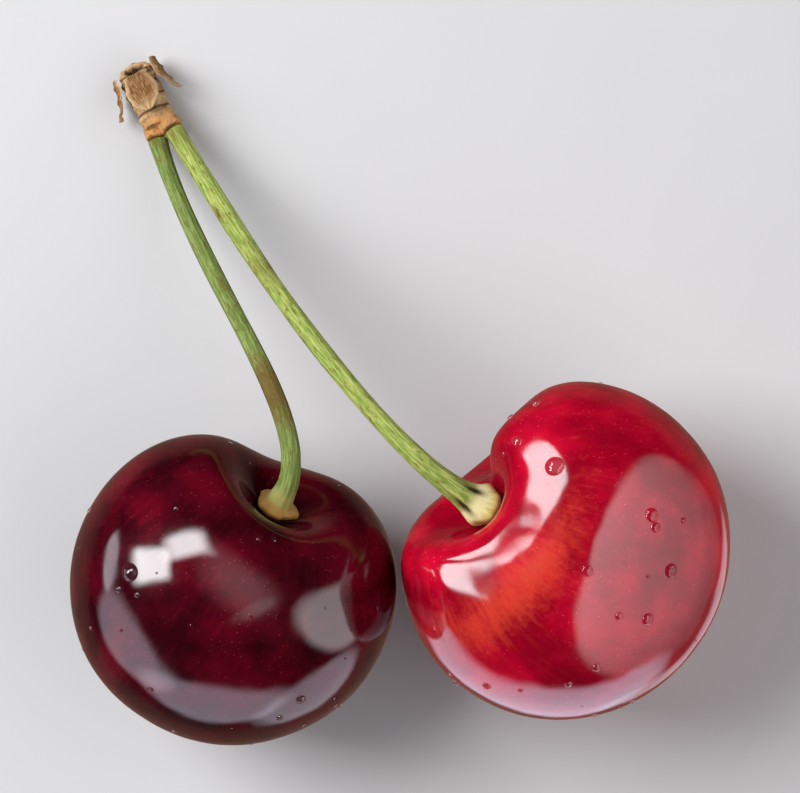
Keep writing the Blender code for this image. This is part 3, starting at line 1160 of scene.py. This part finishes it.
@dataclass
class Stalk:
    """One stalk, from the pad in its cherry's cavity to its collar on the spur."""

    node: str
    radius: float
    pad_radius: float
    foot_radius: float
    lead: float  # how far it keeps its cherry's own line before it bends
    fork_lead: float  # how far it keeps its collar's line
    collar_turn: float  # its collar's turn away from the spur's line, degrees
    collar_side: int  # which side of the spur its collar is on
    finish: StalkFinish
    seed: int
    flare: tuple[tuple[float, float], ...]  # (beyond the pad's rim, share left of its flare)
    thicken: float  # how much thicker it is just over the pad
    torn: float = 0.0  # how far its neck over the pad is split
    tan_at: float = 0.5  # where along it the skin has turned brown, as a share
    tan_width: float = 0.1
    tan: float = 0.0  # how brown

    PAD_GAP = 0.00035
    NECK = 0.0028
    FIT_GAP = 0.0003
    RIDGES = 9
    RIDGE = 0.030  # height of the lengthwise ridges, as a share of the radius
    RIDGE_TWIST = 35  # radians to a metre
    OVAL = 0.035  # how oval it is, as a share of the radius
    OVAL_TWIST = 170
    WAVE = 0.030  # how it thickens and thins, as a share of the radius
    WAVE_PACE = 420
    WOBBLE = 0.05  # how far it strays from its line, as a share of the radius
    WOBBLE_PACE = 230
    PAD_STATIONS = (0.12, 0.25, 0.4, 0.55, 0.7, 0.82, 0.92)  # rings under the pad, as shares
    PAD_SPREAD = 0.0006
    PAD_NOTCHES = ((3, 0.07), (5, 0.05), (11, 0.03))  # notches round the pad, and their depth
    PAD_TRIM = 0.06  # taken off the pad all round, as a share of its radius
    SPLIT_AT = 0.0021  # beyond the pad's rim
    SPLIT_SPREAD = 0.0007
    SPLIT_DEPTH = 0.22
    SPLITS = 4
    DARK_SPREAD = 0.0008  # how far the darkness in the splits reaches along the stalk
    DARKNESS = 1.6
    FOOT_FADE = 0.0016
    THICKEN_RISE = 0.0012
    THICKEN_FADE = 0.0060

    def centre_line(self, cherry: Cherry, spur: Spur, spacing: float) -> np.ndarray:
        """Give close points down the stalk, from the cavity's floor to the collar's mouth.

        Args:
            cherry: the fruit that it stands in.
            spur: the wood that it leaves.
            spacing: between the two collars' mouths.

        Returns:
            N by 3 places.
        """
        axis = (cherry.matrix.to_3x3() @ Vector((0, 0, 1))).normalized()
        foot = cherry.matrix @ Vector((0, 0, cherry.cavity_floor()))
        collar = spur.matrix @ spur.collar_frame(self, spacing)
        collar_axis = (collar.to_3x3() @ Vector((0, 0, 1))).normalized()
        neck = foot + axis * self.NECK
        controls = [neck, neck + axis * self.lead, collar.translation + collar_axis * self.fork_lead]
        p0, p1, p2, p3 = (np.array(p) for p in (*controls, collar.translation))
        t = np.linspace(0, 1, 401)[:, None]
        u = 1 - t
        bend = p0 * u**3 + p1 * (3 * u * u * t) + p2 * (3 * u * t * t) + p3 * t**3
        return np.concatenate([np.array(foot)[None], bend])

    def profile(self, cherry: Cherry, length: float) -> tuple[np.ndarray, np.ndarray]:
        """Give the distances from the cavity's floor and the radii there.

        Args:
            cherry: the fruit that it stands in.
            length: of the stalk's line.

        Returns:
            The distances and the radii, one for each ring.
        """
        floor = cherry.cavity_floor()
        along, radii = [], []
        for share in self.PAD_STATIONS:
            radius = self.pad_radius * share
            along.append(cherry.cavity_floor(radius) - floor + self.PAD_GAP)
            radii.append(radius)
        rim = cherry.cavity_floor(self.pad_radius) - floor + self.PAD_GAP
        for beyond, share in self.flare:
            along.append(rim + beyond)
            radii.append(self.radius + (self.pad_radius - self.radius) * share)
        steps = Quality.STALK.value[0]
        end = length - self.FIT_GAP
        rest = np.linspace(along[-1], end, steps + 1)[1:]
        along = np.append(along, rest)
        swell = (self.foot_radius - self.radius) * np.exp(-(end - rest) / self.FOOT_FADE)
        radii = np.append(radii, self.radius + swell)
        past_rim = np.clip(along - rim, 0, None)
        neck = smoothstep(past_rim / self.THICKEN_RISE)
        return along, radii + self.thicken * neck * bell(past_rim, self.THICKEN_FADE)

    def build(self, cherry: Cherry, spur: Spur, spacing: float) -> bpy.types.Object:
        """Sweep the stalk down its line and dress it.

        Args:
            cherry: the fruit that it stands in.
            spur: the wood that it leaves.
            spacing: between the two collars' mouths.

        Returns:
            The stalk's piece.
        """
        line = self.centre_line(cherry, spur, spacing)
        travelled = np.concatenate([[0], np.cumsum(np.linalg.norm(np.diff(line, axis=0), axis=1))])

        def at(distance: float) -> Vector:
            """Give the place at a distance down the line."""
            return Vector([float(np.interp(distance, travelled, line[:, k])) for k in range(3)])

        along, radii = self.profile(cherry, float(travelled[-1]))
        sides = Quality.STALK.value[1]
        a = np.linspace(0, 2 * math.pi, sides, endpoint=False)
        rng = np.random.default_rng(self.seed)
        phases = rng.uniform(0, 2 * math.pi, 6)
        side = (at(0.001) - at(0)).orthogonal().normalized()
        rim = float(along[len(self.PAD_STATIONS)])
        rings = []
        for distance, radius in zip(along, radii):
            ahead = (at(distance + 0.0003) - at(distance - 0.0003)).normalized()
            side = (side - ahead * side.dot(ahead)).normalized()
            up = ahead.cross(side)
            rings.append(self.ring(at(distance), side, up, a, distance, radius, rim, phases))
        mesh = closed_mesh(f"{self.node}_green", np.array(rings), at(float(along[0]) - 0.00002), None)
        self.mark(mesh, along, a, rim, phases)
        face_out(mesh)
        return add_piece(f"{self.node}_green", mesh, self.finish.material(), "stalk", self.node)

    def ring(
        self, centre: Vector, side: Vector, up: Vector, a: np.ndarray, distance: float,
        radius: float, rim: float, phases: np.ndarray,
    ) -> np.ndarray:
        """Give one ring of the stalk, ridged, uneven and ragged at the pad.

        Args:
            centre: the ring's middle.
            side: its own X.
            up: its own Y.
            a: angles round it.
            distance: from the cavity's floor.
            radius: its mean radius.
            rim: the pad's rim, as such a distance.
            phases: the stalk's own six random angles.

        Returns:
            The ring's points.
        """
        on_pad = float(bell(distance - rim, self.PAD_SPREAD)) * (radius / self.pad_radius)
        slender = 1 - on_pad
        shape = 1 + slender * self.RIDGE * np.sin(self.RIDGES * a + distance * self.RIDGE_TWIST)
        shape += slender * self.OVAL * np.sin(2 * a + distance * self.OVAL_TWIST + phases[0])
        shape += slender * self.WAVE * math.sin(distance * self.WAVE_PACE + phases[1])
        notches = zip(self.PAD_NOTCHES, phases[2:5])
        ragged = sum(depth * np.sin(count * a + phase) for (count, depth), phase in notches)
        shape += on_pad * (ragged - self.PAD_TRIM)
        split = self.torn * float(bell(distance - rim - self.SPLIT_AT, self.SPLIT_SPREAD))
        shape -= split * self.SPLIT_DEPTH * np.clip(np.sin(self.SPLITS * a + phases[5]), 0, 1) ** 3
        wobble = self.WOBBLE * slender * radius * math.sin(distance * self.WOBBLE_PACE + phases[2])
        r = radius * shape
        centre = np.array(centre) + np.array(side) * wobble
        return centre + np.outer(r * np.cos(a), side) + np.outer(r * np.sin(a), up)

    def mark(
        self, mesh: bpy.types.Mesh, along: np.ndarray, a: np.ndarray, rim: float, phases: np.ndarray
    ) -> None:
        """Keep what the finish reads: the fibre's way, the pad, the splits and the browned stretch.

        Args:
            mesh: the stalk, its points in ring order and then its end.
            along: each ring's distance from the cavity's floor.
            a: angles round a ring.
            rim: the pad's rim, as such a distance.
            phases: the stalk's own six random angles.
        """
        distance = np.append(np.repeat(along, len(a)), along[0])
        angle = np.append(np.tile(a, len(along)), 0.0)
        fibre = np.stack([np.cos(angle), np.sin(angle), distance / MM], axis=1)
        keep(mesh, "fibre", fibre)
        share = distance / along[-1]
        keep(mesh, "pad", 1 - rise_from(distance - rim, 0.0002, 0.0026))
        split = np.clip(np.sin(self.SPLITS * angle + phases[5]), 0, 1) ** 2
        split = bell(distance - rim - self.SPLIT_AT, self.DARK_SPREAD) * split
        keep(mesh, "torn", np.clip(self.torn * split * self.DARKNESS, 0, 1))
        tan = self.tan * bell(share - self.tan_at, self.tan_width)
        fork = self.finish.fork_brown * rise_from(share, 0.90, 0.1)
        keep(mesh, "tan", np.maximum(tan, fork))


# ---------------------------------------------------------------- the bud scales


@dataclass
class BudScale:
    """One dry bud scale: a thin spoon that hugs the spur's wood and flares to a ragged tip."""

    node: str
    middle: float  # its place round the spur, degrees
    start: float  # its root's distance from the broken end
    seed: int
    length: float = 0.0034
    half_arc: float = 36.0
    thickness: float = 0.00035
    spread: float = 0.0006
    gap: float = 0.0003

    CREASE = 0.00006
    CURL = 0.00022  # how far its edges lift at the tip
    VEIN_RUN = 3  # how drawn out the veins are

    def build(self, spur: Spur, finish: HuskFinish) -> bpy.types.Object:
        """Shape the scale and dress it.

        Args:
            spur: the wood that it clings to.
            finish: its husk.

        Returns:
            The scale's piece.
        """
        steps, columns = Quality.SCALE.value
        share = np.linspace(0, 1, steps + 1)
        along = self.start + self.length * share
        wood, wider = spur.radius_at(along)
        inside = wood * 1.05 + spur.ridge + self.gap + self.spread * share**2
        rng = np.random.default_rng(self.seed)
        tip = 0.06 * np.sin(share * 23 + rng.uniform(0, 6)) * share
        half = math.radians(self.half_arc) * np.sin(math.pi * (0.22 + 0.76 * share)) ** 0.8 * (1 + tip)
        across = np.linspace(-1, 1, columns)
        rings, veins, edges = [], [], []
        for i in range(steps + 1):
            a = math.radians(self.middle) + half[i] * across
            crease = self.CREASE * np.cos(across * 9 + self.seed) * (0.4 + share[i])
            curl = self.CURL * share[i] * across**2
            thick = self.thickness * (0.55 - 0.30 * share[i]) * (1 - 0.75 * across**4)
            mean = inside[i] + self.thickness * 0.5 + crease + curl
            outer = mean + thick / 2
            inner = mean - thick / 2
            skins = [(outer, across, a), (inner[::-1], across[::-1], a[::-1])]
            ring = []
            level, run = np.full(columns, along[i]), np.full(columns, share[i] * self.VEIN_RUN)
            for radius, over, angle in skins:
                x, y = radius * wider[i] * np.cos(angle), radius * np.sin(angle)
                ring.append(np.stack([x, y, level], axis=1))
                veins.append(np.stack([over, run, np.zeros(columns)], axis=1))
                edges.append(np.maximum(np.abs(over), share[i]))
            rings.append(np.concatenate(ring))
        mesh = closed_mesh(f"{self.node}_husk", np.array(rings), None, None)
        keep(mesh, "vein", np.concatenate(veins))
        keep(mesh, "edge", np.concatenate(edges))
        face_out(mesh)
        mesh.transform(spur.matrix)
        return add_piece(f"{self.node}_husk", mesh, finish.material(), "dry_scale", self.node)


# ---------------------------------------------------------------- the water


@dataclass(frozen=True)
class Drop:
    """One bead of water: where it sits seen from above, in millimetres from the fruit's middle."""

    across: float
    up: float
    radius: float
    run: float = 0.0  # how far it has run down, as a share of its radius


@dataclass
class Beads:
    """The water that beads on one fruit."""

    cherry: Cherry
    large: tuple[Drop, ...]
    small: int
    seed: int

    LARGE_CUTS = (10, 26)  # rings and sides of a large bead
    SMALL_CUTS = (4, 12)
    HEIGHT = 0.62  # of a bead, as a share of its radius
    SOLE = 0.10  # how deep it reaches into the skin, as such a share
    TUCK = 0.04  # how far its edge is tucked under, as such a share
    LEAST = 0.07  # radius of the smallest bead, in millimetres
    RANGE = 0.26

    def build(self, finish: WaterFinish) -> bpy.types.Object:
        """Set the beads on the skin, all in one piece.

        Args:
            finish: the water.

        Returns:
            The beads' piece.
        """
        mesh = self.cherry.piece.data
        tree = BVHTree.FromPolygons([v.co for v in mesh.vertices], [p.vertices for p in mesh.polygons])
        middle = self.cherry.matrix.translation
        down = Vector((0, 0, -1))
        bm = bmesh.new()
        for drop in self.large:
            above = Vector((middle.x + drop.across * MM, middle.y + drop.up * MM, 1.0))
            self.bead(bm, tree, above, down, drop.radius * MM, drop.run, self.LARGE_CUTS)
        rng = np.random.default_rng(self.seed)
        for _ in range(self.small):
            way = Vector(rng.normal(size=3))
            way.z = abs(way.z) * 1.2 - 0.25
            way.normalize()
            radius = (self.LEAST + self.RANGE * rng.random() ** 3.0) * MM
            self.bead(bm, tree, middle + way * 0.05, -way, radius, 0.0, self.SMALL_CUTS)
        whole = bpy.data.meshes.new(f"{self.cherry.node}_water")
        bm.to_mesh(whole)
        bm.free()
        face_out(whole)
        return add_piece(f"{self.cherry.node}_water", whole, finish.material(), "")

    def bead(
        self, bm: bmesh.types.BMesh, tree: BVHTree, start: Vector, way: Vector, radius: float,
        run: float, cuts: tuple[int, int],
    ) -> None:
        """Add one bead where a line meets the skin.

        Args:
            bm: takes its faces.
            tree: the skin.
            start: where the line starts.
            way: its direction.
            radius: of the bead's foot.
            run: how far it has run down, as a share of its radius.
            cuts: steps from its top to its foot, and steps round it.
        """
        rings, sides = cuts
        hit, normal, _, _ = tree.ray_cast(start, way)
        if hit is None:
            return
        side = normal.orthogonal().normalized()
        downhill = Vector((0, 0, -1)) - normal * normal.dot(Vector((0, 0, -1)))
        if downhill.length > 1e-4:
            side = downhill.normalized()
        over = normal.cross(side)
        height = radius * self.HEIGHT
        loops = []
        for i in range(1, rings + 1):
            share = i / rings
            loop = []
            for j in range(sides):
                a = 2 * math.pi * j / sides
                stretch = 1 + run * max(0.0, math.cos(a))
                flat = side * (math.cos(a) * stretch) + over * math.sin(a)
                foot = hit + flat * (radius * math.sin(share * math.pi / 2))
                near, facing, _, _ = tree.find_nearest(foot)
                if facing.dot(normal) < 0:
                    facing = -facing
                rise = height * math.cos(share * math.pi / 2) ** 1.15
                rise -= self.TUCK * radius * share**8
                loop.append(bm.verts.new(near + facing * rise))
            loops.append(loop)
        crown = bm.verts.new(hit + normal * height)
        sole = bm.verts.new(hit - normal * self.SOLE * radius)
        for j in range(sides):
            k = (j + 1) % sides
            bm.faces.new((crown, loops[0][j], loops[0][k]))
            for inner, outer in zip(loops, loops[1:]):
                bm.faces.new((inner[j], outer[j], outer[k], inner[k]))
            bm.faces.new((loops[-1][k], loops[-1][j], sole))


# ---------------------------------------------------------------- the studio


@dataclass(frozen=True)
class Panel:
    """A lamp that hangs aimed at the cherries, or shows in one cherry's gloss only."""

    name: str
    bearing: float  # plan direction from its target, degrees
    height: float  # degrees above level
    distance: float
    size: tuple[float, float]
    glow: float  # its radiance
    colour: Colour = (1.0, 1.0, 1.0)
    roll: float = 0.0  # turn about the line to its target, degrees
    soft: float = 0.0  # share of its half width over which its light fades out to its edge
    fade: float = 1.0  # glow at its foot, as a share of the glow at its head
    oval: bool = False

    def build(self, target: Vector, shown_in: bpy.types.Collection | None = None) -> None:
        """Hang the lamp.

        Args:
            target: what it is aimed at.
            shown_in: the pieces in whose gloss it shows; without them it only lights.
        """
        lamp = bpy.data.lights.new(self.name, "AREA")
        lamp.shape = "ELLIPSE" if self.oval else "RECTANGLE"
        lamp.size, lamp.size_y = self.size
        share = math.pi / 4 if self.oval else 1.0
        lamp.energy = self.glow * math.pi * self.size[0] * self.size[1] * share
        lamp.color = self.colour
        if self.soft > 0:
            self.soften(lamp)
        thing = bpy.data.objects.new(self.name, lamp)
        way = heading_vector(self.bearing, self.height)
        thing.location = target + way * self.distance
        roll = Quaternion((0, 0, 1), math.radians(self.roll))
        thing.rotation_euler = (way.to_track_quat("Z", "Y") @ roll).to_euler()
        thing.visible_diffuse = shown_in is None
        thing.visible_glossy = shown_in is not None
        thing.visible_transmission = False
        thing.visible_camera = False
        if shown_in is not None:
            thing.light_linking.receiver_collection = shown_in
        bpy.context.scene.collection.objects.link(thing)

    def soften(self, lamp: bpy.types.Light) -> None:
        """Fade a lamp's light towards its edge and its foot.

        Args:
            lamp: the lamp.
        """
        lamp.use_nodes = True
        tree = lamp.node_tree
        emission = next(node for node in tree.nodes if node.type == "EMISSION")
        book = NodeBook.of_tree(tree)
        split = book.add("ShaderNodeSeparateXYZ")
        book.join(book.add("ShaderNodeNewGeometry").outputs["Parametric"], split.inputs[0])
        across = book.maths("ABSOLUTE", book.maths("SUBTRACT", split.outputs[0], 0.5), 0.0)
        along = book.maths("ABSOLUTE", book.maths("SUBTRACT", split.outputs[1], 0.5), 0.0)
        edge, inner = 0.5, 0.5 * (1 - self.soft)
        if self.oval:
            squares = book.maths("ADD", book.maths("POWER", across, 2.0), book.maths("POWER", along, 2.0))
            light = book.ramp(book.maths("SQRT", squares, 0.0), edge, inner)
        else:
            light = book.times(book.ramp(across, edge, inner), book.ramp(along, edge, inner))
        head = book.ramp(split.outputs[1], 0.1, 0.9)
        falling = book.maths("ADD", book.maths("MULTIPLY", head, 1 - self.fade), self.fade)
        book.join(book.times(light, falling), emission.inputs["Strength"])


@dataclass
class Studio:
    """The pale floor, two soft lamps, the lamps that show only in the gloss, and the camera."""

    panels: tuple[Panel, ...]
    sheens: dict[str, tuple[Panel, ...]]  # the lamps that show in each cherry's gloss
    floor_colour: Colour = (0.56, 0.55, 0.54)
    sky_colour: Colour = (0.62, 0.68, 0.85)
    sky_glow: float = 0.22
    camera_height: float = 0.60
    view_height: float = 0.0665  # what the picture takes in from top to bottom
    sensor: float = 36.0
    picture: tuple[int, int] = (800, 793)
    aim_height: float = 0.012  # about the middle of the fruits
    floor_drop: float = 0.00002  # how far the floor lies under the fruits

    def build(self, low: Vector, high: Vector) -> None:
        """Set everything up round the object.

        Args:
            low: the object's lowest corner.
            high: its highest corner.
        """
        middle = (low + high) / 2
        self.lay_floor()
        for panel in self.panels:
            panel.build(Vector((middle.x, low.y * 0.5, self.aim_height)))
        for fruit, sheens in self.sheens.items():
            group = bpy.data.collections.new(f"{fruit}_gloss")
            for thing in bpy.data.objects:
                if thing.name in (f"{fruit}_cherry_skin", f"{fruit}_cherry_water"):
                    group.objects.link(thing)
            corners = [Vector(corner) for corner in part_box(f"{fruit}_cherry")]
            for sheen in sheens:
                sheen.build((corners[0] + corners[1]) / 2, group)
        world = bpy.data.worlds.new("soft_room")
        world.use_nodes = True
        sky = world.node_tree.nodes["Background"]
        sky.inputs["Color"].default_value = (*self.sky_colour, 1)
        sky.inputs["Strength"].default_value = self.sky_glow
        world.cycles_visibility.glossy = False
        bpy.context.scene.world = world
        bpy.context.scene.view_settings.view_transform = "Standard"
        lens = bpy.data.cameras.new("above")
        view_width = self.view_height * self.picture[0] / self.picture[1]
        lens.sensor_width = self.sensor
        lens.lens = self.sensor * (self.camera_height - self.aim_height) / view_width
        lens.clip_start, lens.clip_end = 0.01, 20
        camera = bpy.data.objects.new("above", lens)
        camera.location = (middle.x, middle.y, self.camera_height)
        bpy.context.scene.collection.objects.link(camera)
        bpy.context.scene.camera = camera

    def lay_floor(self) -> None:
        """Lay the floor: a wide sheet with a fine plaster grain."""
        bm = bmesh.new()
        bmesh.ops.create_grid(bm, x_segments=8, y_segments=8, size=3.0)
        mesh = bpy.data.meshes.new("floor")
        bm.to_mesh(mesh)
        bm.free()
        book = NodeBook("pale_floor")
        grain = book.noise(book.place(), 60, 4, 0.6)
        shade = tuple(c * 0.96 for c in self.floor_colour)
        colour = book.mix(grain, shade, self.floor_colour)
        book.set(Base_Color=colour, Roughness=0.8, Specular_IOR_Level=0.0)
        mesh.materials.append(book.material)
        floor = bpy.data.objects.new("floor", mesh)
        floor.location.z = -self.floor_drop
        floor.visible_glossy = False
        bpy.context.scene.collection.objects.link(floor)
        floor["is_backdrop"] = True


# ---------------------------------------------------------------- the whole

RED_SKIN = SkinFinish(
    "red_cherry_skin", (0.24, 0.0007, 0.010), (0.50, 0.002, 0.023), (0.56, 0.045, 0.022),
    (0.85, 0.24, 0.18), 0.10, 0.22,
)
DARK_SKIN = SkinFinish(
    "dark_cherry_skin", (0.024, 0.0010, 0.0030), (0.092, 0.0014, 0.0075), (0.17, 0.004, 0.013),
    (0.42, 0.10, 0.10), 0.18, 0.2,
)
RED_STALK_GREEN = StalkFinish(
    "red_stalk_green", (0.17, 0.25, 0.040), (0.42, 0.46, 0.13), (0.84, 0.82, 0.42), (0.66, 0.55, 0.16)
)
DARK_STALK_GREEN = StalkFinish(
    "dark_stalk_green", (0.11, 0.17, 0.035), (0.25, 0.30, 0.09), (0.36, 0.33, 0.10), (0.42, 0.20, 0.05)
)
BARK = BarkFinish(
    "spur_bark", (0.55, 0.37, 0.19), (0.36, 0.20, 0.085), (0.10, 0.045, 0.018), (0.50, 0.22, 0.06)
)
HUSK = HuskFinish("bud_scale_husk", (0.13, 0.055, 0.02), (0.38, 0.21, 0.09), (0.50, 0.33, 0.17))
WATER = WaterFinish("bead_water")

# (beyond the pad's rim, share left of the pad's flare)
TRUMPET = (
    (0.0, 0.97), (0.0002, 0.98), (0.0004, 0.92), (0.0006, 0.82), (0.0009, 0.66), (0.0012, 0.53),
    (0.0016, 0.40), (0.0020, 0.29), (0.0025, 0.19), (0.0031, 0.11), (0.0039, 0.05), (0.0050, 0.0),
)
DISC = (
    (0.0, 0.97), (0.0002, 1.0), (0.00032, 0.97), (0.00042, 0.80), (0.0005, 0.56), (0.0006, 0.38),
    (0.0008, 0.24), (0.0012, 0.14), (0.0018, 0.07), (0.0026, 0.03), (0.0036, 0.01), (0.0050, 0.0),
)


@dataclass
class Pair:
    """The whole object: two cherries, their stalks, the spur, its scales and the water."""

    red: Cherry
    dark: Cherry
    red_stalk: Stalk
    dark_stalk: Stalk
    spur: Spur
    scales: tuple[BudScale, ...]
    bearing: float = 6.3  # plan direction from the dark cherry to the red one, degrees
    fork_out: float = 0.0400
    fork_aside: float = -0.0162

    def build(self) -> None:
        """Build and dress every piece."""
        for cherry in (self.red, self.dark):
            cherry.place()
            cherry.build()
        middle = (self.red.matrix.translation + self.dark.matrix.translation) / 2
        along = heading_vector(self.bearing, 0)
        across = heading_vector(self.bearing + 90, 0)
        self.spur.place(middle, along, across, self.fork_aside, self.fork_out)
        stalks = [self.red_stalk, self.dark_stalk]
        spacing = sum(self.spur.collar_radius(stalk) for stalk in stalks) + self.spur.collar_apart
        self.spur.build(stalks, spacing, BARK)
        self.red_stalk.build(self.red, self.spur, spacing)
        self.dark_stalk.build(self.dark, self.spur, spacing)
        for scale in self.scales:
            scale.build(self.spur, HUSK)


def make_pair() -> Pair:
    """Give the pair with its sizes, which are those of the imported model.

    Returns:
        The pair, not yet built.
    """
    red = Cherry("red_cherry", "red_skin", 0.0287, 0.0262, 0.0130, 0.0052, 0.0034, 0.0009, 0.0007, 238,
                 0.0047, 151, 31, 0, RED_SKIN, 21, blush=1.0)
    dark = Cherry("dark_cherry", "dark_skin", 0.0274, 0.0252, 0.0129, 0.0048, 0.0043, 0.00045, 0.0, 90,
                  0.0012, 61, 29, 196, DARK_SKIN, 31, blush=0.35, blush_ring=62)
    red_stalk = Stalk("red_stalk", 0.00078, 0.0019, 0.00086, 0.0112, 0.0145, 5, 1, RED_STALK_GREEN, 41,
                      TRUMPET, 0.00014, torn=1.0, tan_at=0.66, tan_width=0.08, tan=0.5)
    dark_stalk = Stalk("dark_stalk", 0.00074, 0.0019, 0.00082, 0.0075, 0.012, -10, -1, DARK_STALK_GREEN, 42,
                       DISC, 0.00012, tan_at=0.30, tan_width=0.13, tan=0.8)
    scales = (
        BudScale("bud_scale_1", 94, 0.0016, 1),
        BudScale("bud_scale_2", 12, 0.0006, 2),
        BudScale("bud_scale_3", 174, 0.0011, 3),
    )
    return Pair(red, dark, red_stalk, dark_stalk, Spur(), scales)


RED_DROPS = (
    Drop(-1.6, 7.4, 0.85),
    Drop(6.4, 3.4, 0.62),
    Drop(6.7, 2.4, 0.45),
    Drop(1.0, -1.1, 0.5, 0.3),
    Drop(8.0, -1.2, 0.62),
    Drop(6.1, -5.2, 0.55),
    Drop(3.7, -4.9, 0.38),
    Drop(1.9, -9.2, 0.42),
    Drop(-3.0, 12.6, 0.5),
    Drop(-4.6, 9.4, 0.5, 0.5),
    Drop(-0.4, -10.6, 0.35),
    Drop(-7.1, -10.9, 0.4),
    Drop(-9.6, -10.8, 0.35),
    Drop(-5.1, 11.4, 0.32),
    Drop(-5.7, 8.4, 0.3),
)
DARK_DROPS = (
    Drop(-8.0, 1.8, 0.8),
    Drop(-9.0, 0.4, 0.35),
    Drop(-7.4, 0.0, 0.3),
    Drop(2.6, 4.6, 0.3),
    Drop(6.0, -8.8, 0.45),
    Drop(-6.4, -8.0, 0.3),
)

LAMPS = (
    Panel("window_lamp", 158, 40, 0.42, (0.25, 0.36), 10.5, (0.96, 0.97, 1.0)),
    Panel("wall_lamp", -10, 32, 0.50, (1.05, 0.80), 1.2, (1.0, 0.98, 0.97)),
)
SHEENS = {
    "red": (
        Panel("red_pane_right", 132, 25, 0.42, (0.18, 0.18), 22, (0.84, 0.97, 1.0), 0, 0.2),
        Panel("red_pane_left", 174, 30, 0.43, (0.37, 0.145), 24, (0.84, 0.97, 1.0), 0, 0.25),
        Panel("red_wall", -14, 16, 0.50, (1.85, 1.85), 6.4, (1.0, 0.94, 0.97), 0, 0.25, 0.05, True),
        Panel("red_table", 258, -38, 0.30, (0.80, 0.32), 4.4, (0.76, 0.78, 1.0), 0, 0.35, 0.5, True),
        Panel("red_table_right", 328, -58, 0.31, (0.34, 0.12), 1.0, (0.9, 0.88, 1.0), 0, 0.4, 1.0, True),
        Panel("red_ground", 0, -90, 0.35, (1.6, 1.6), 0.22, (1.0, 0.55, 0.42), 0, 0.5, 1.0, True),
    ),
    "dark": (
        Panel("dark_pane_left", 171, 34, 0.42, (0.22, 0.30), 30, (0.97, 0.98, 1.0), 14, 0.5),
        Panel("dark_pane_right", 130, 53, 0.43, (0.42, 0.20), 28, (0.97, 0.98, 1.0), -24, 0.7),
        Panel("dark_left", 172, -3, 0.40, (0.24, 0.12), 6.5, (0.95, 0.92, 1.0), 0, 0.4, 1.0, True),
        Panel("dark_table_left", 213, -3, 0.39, (0.52, 0.28), 4.2, (0.90, 0.84, 1.0), 0, 0.4, 0.7, True),
        Panel("dark_table", 260, -8, 0.38, (0.62, 0.29), 4.0, (0.88, 0.82, 1.0), 0, 0.4, 0.7, True),
        Panel("dark_table_right", 303, -22, 0.37, (0.40, 0.28), 3.0, (0.90, 0.86, 1.0), 0, 0.4, 0.7, True),
        Panel("dark_wall", 346, 9, 0.41, (0.46, 0.62), 6.5, (1.0, 0.92, 0.94), 20, 0.35, 0.6, True),
        Panel("dark_ceiling", 310, 66, 0.60, (0.62, 0.16), 1.7, (1.0, 0.90, 0.92), 0, 0.7, 1.0, True),
        Panel("dark_room", 20, 80, 0.62, (1.0, 0.8), 1.9, (1.0, 0.85, 0.88), 0, 0.9, 1.0, True),
        Panel("dark_ground", 0, -90, 0.35, (1.6, 1.6), 0.20, (1.0, 0.62, 0.48), 0, 0.5, 1.0, True),
    ),
}


def main() -> None:
    """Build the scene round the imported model."""
    logging.basicConfig(level=logging.INFO, format="%(message)s")
    for thing in list(bpy.data.objects):
        bpy.data.objects.remove(thing, do_unlink=True)
    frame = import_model()
    LOG.info("packed nodes: %s", ", ".join(sorted(frame["nodes"])))
    cad_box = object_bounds()
    pair = make_pair()
    pair.build()
    Beads(pair.red, RED_DROPS, 46, 71).build(WATER)
    Beads(pair.dark, DARK_DROPS, 60, 72).build(WATER)
    Studio(LAMPS, SHEENS).build(Vector(cad_box[0]), Vector(cad_box[1]))


if __name__ == "__main__":
    main()
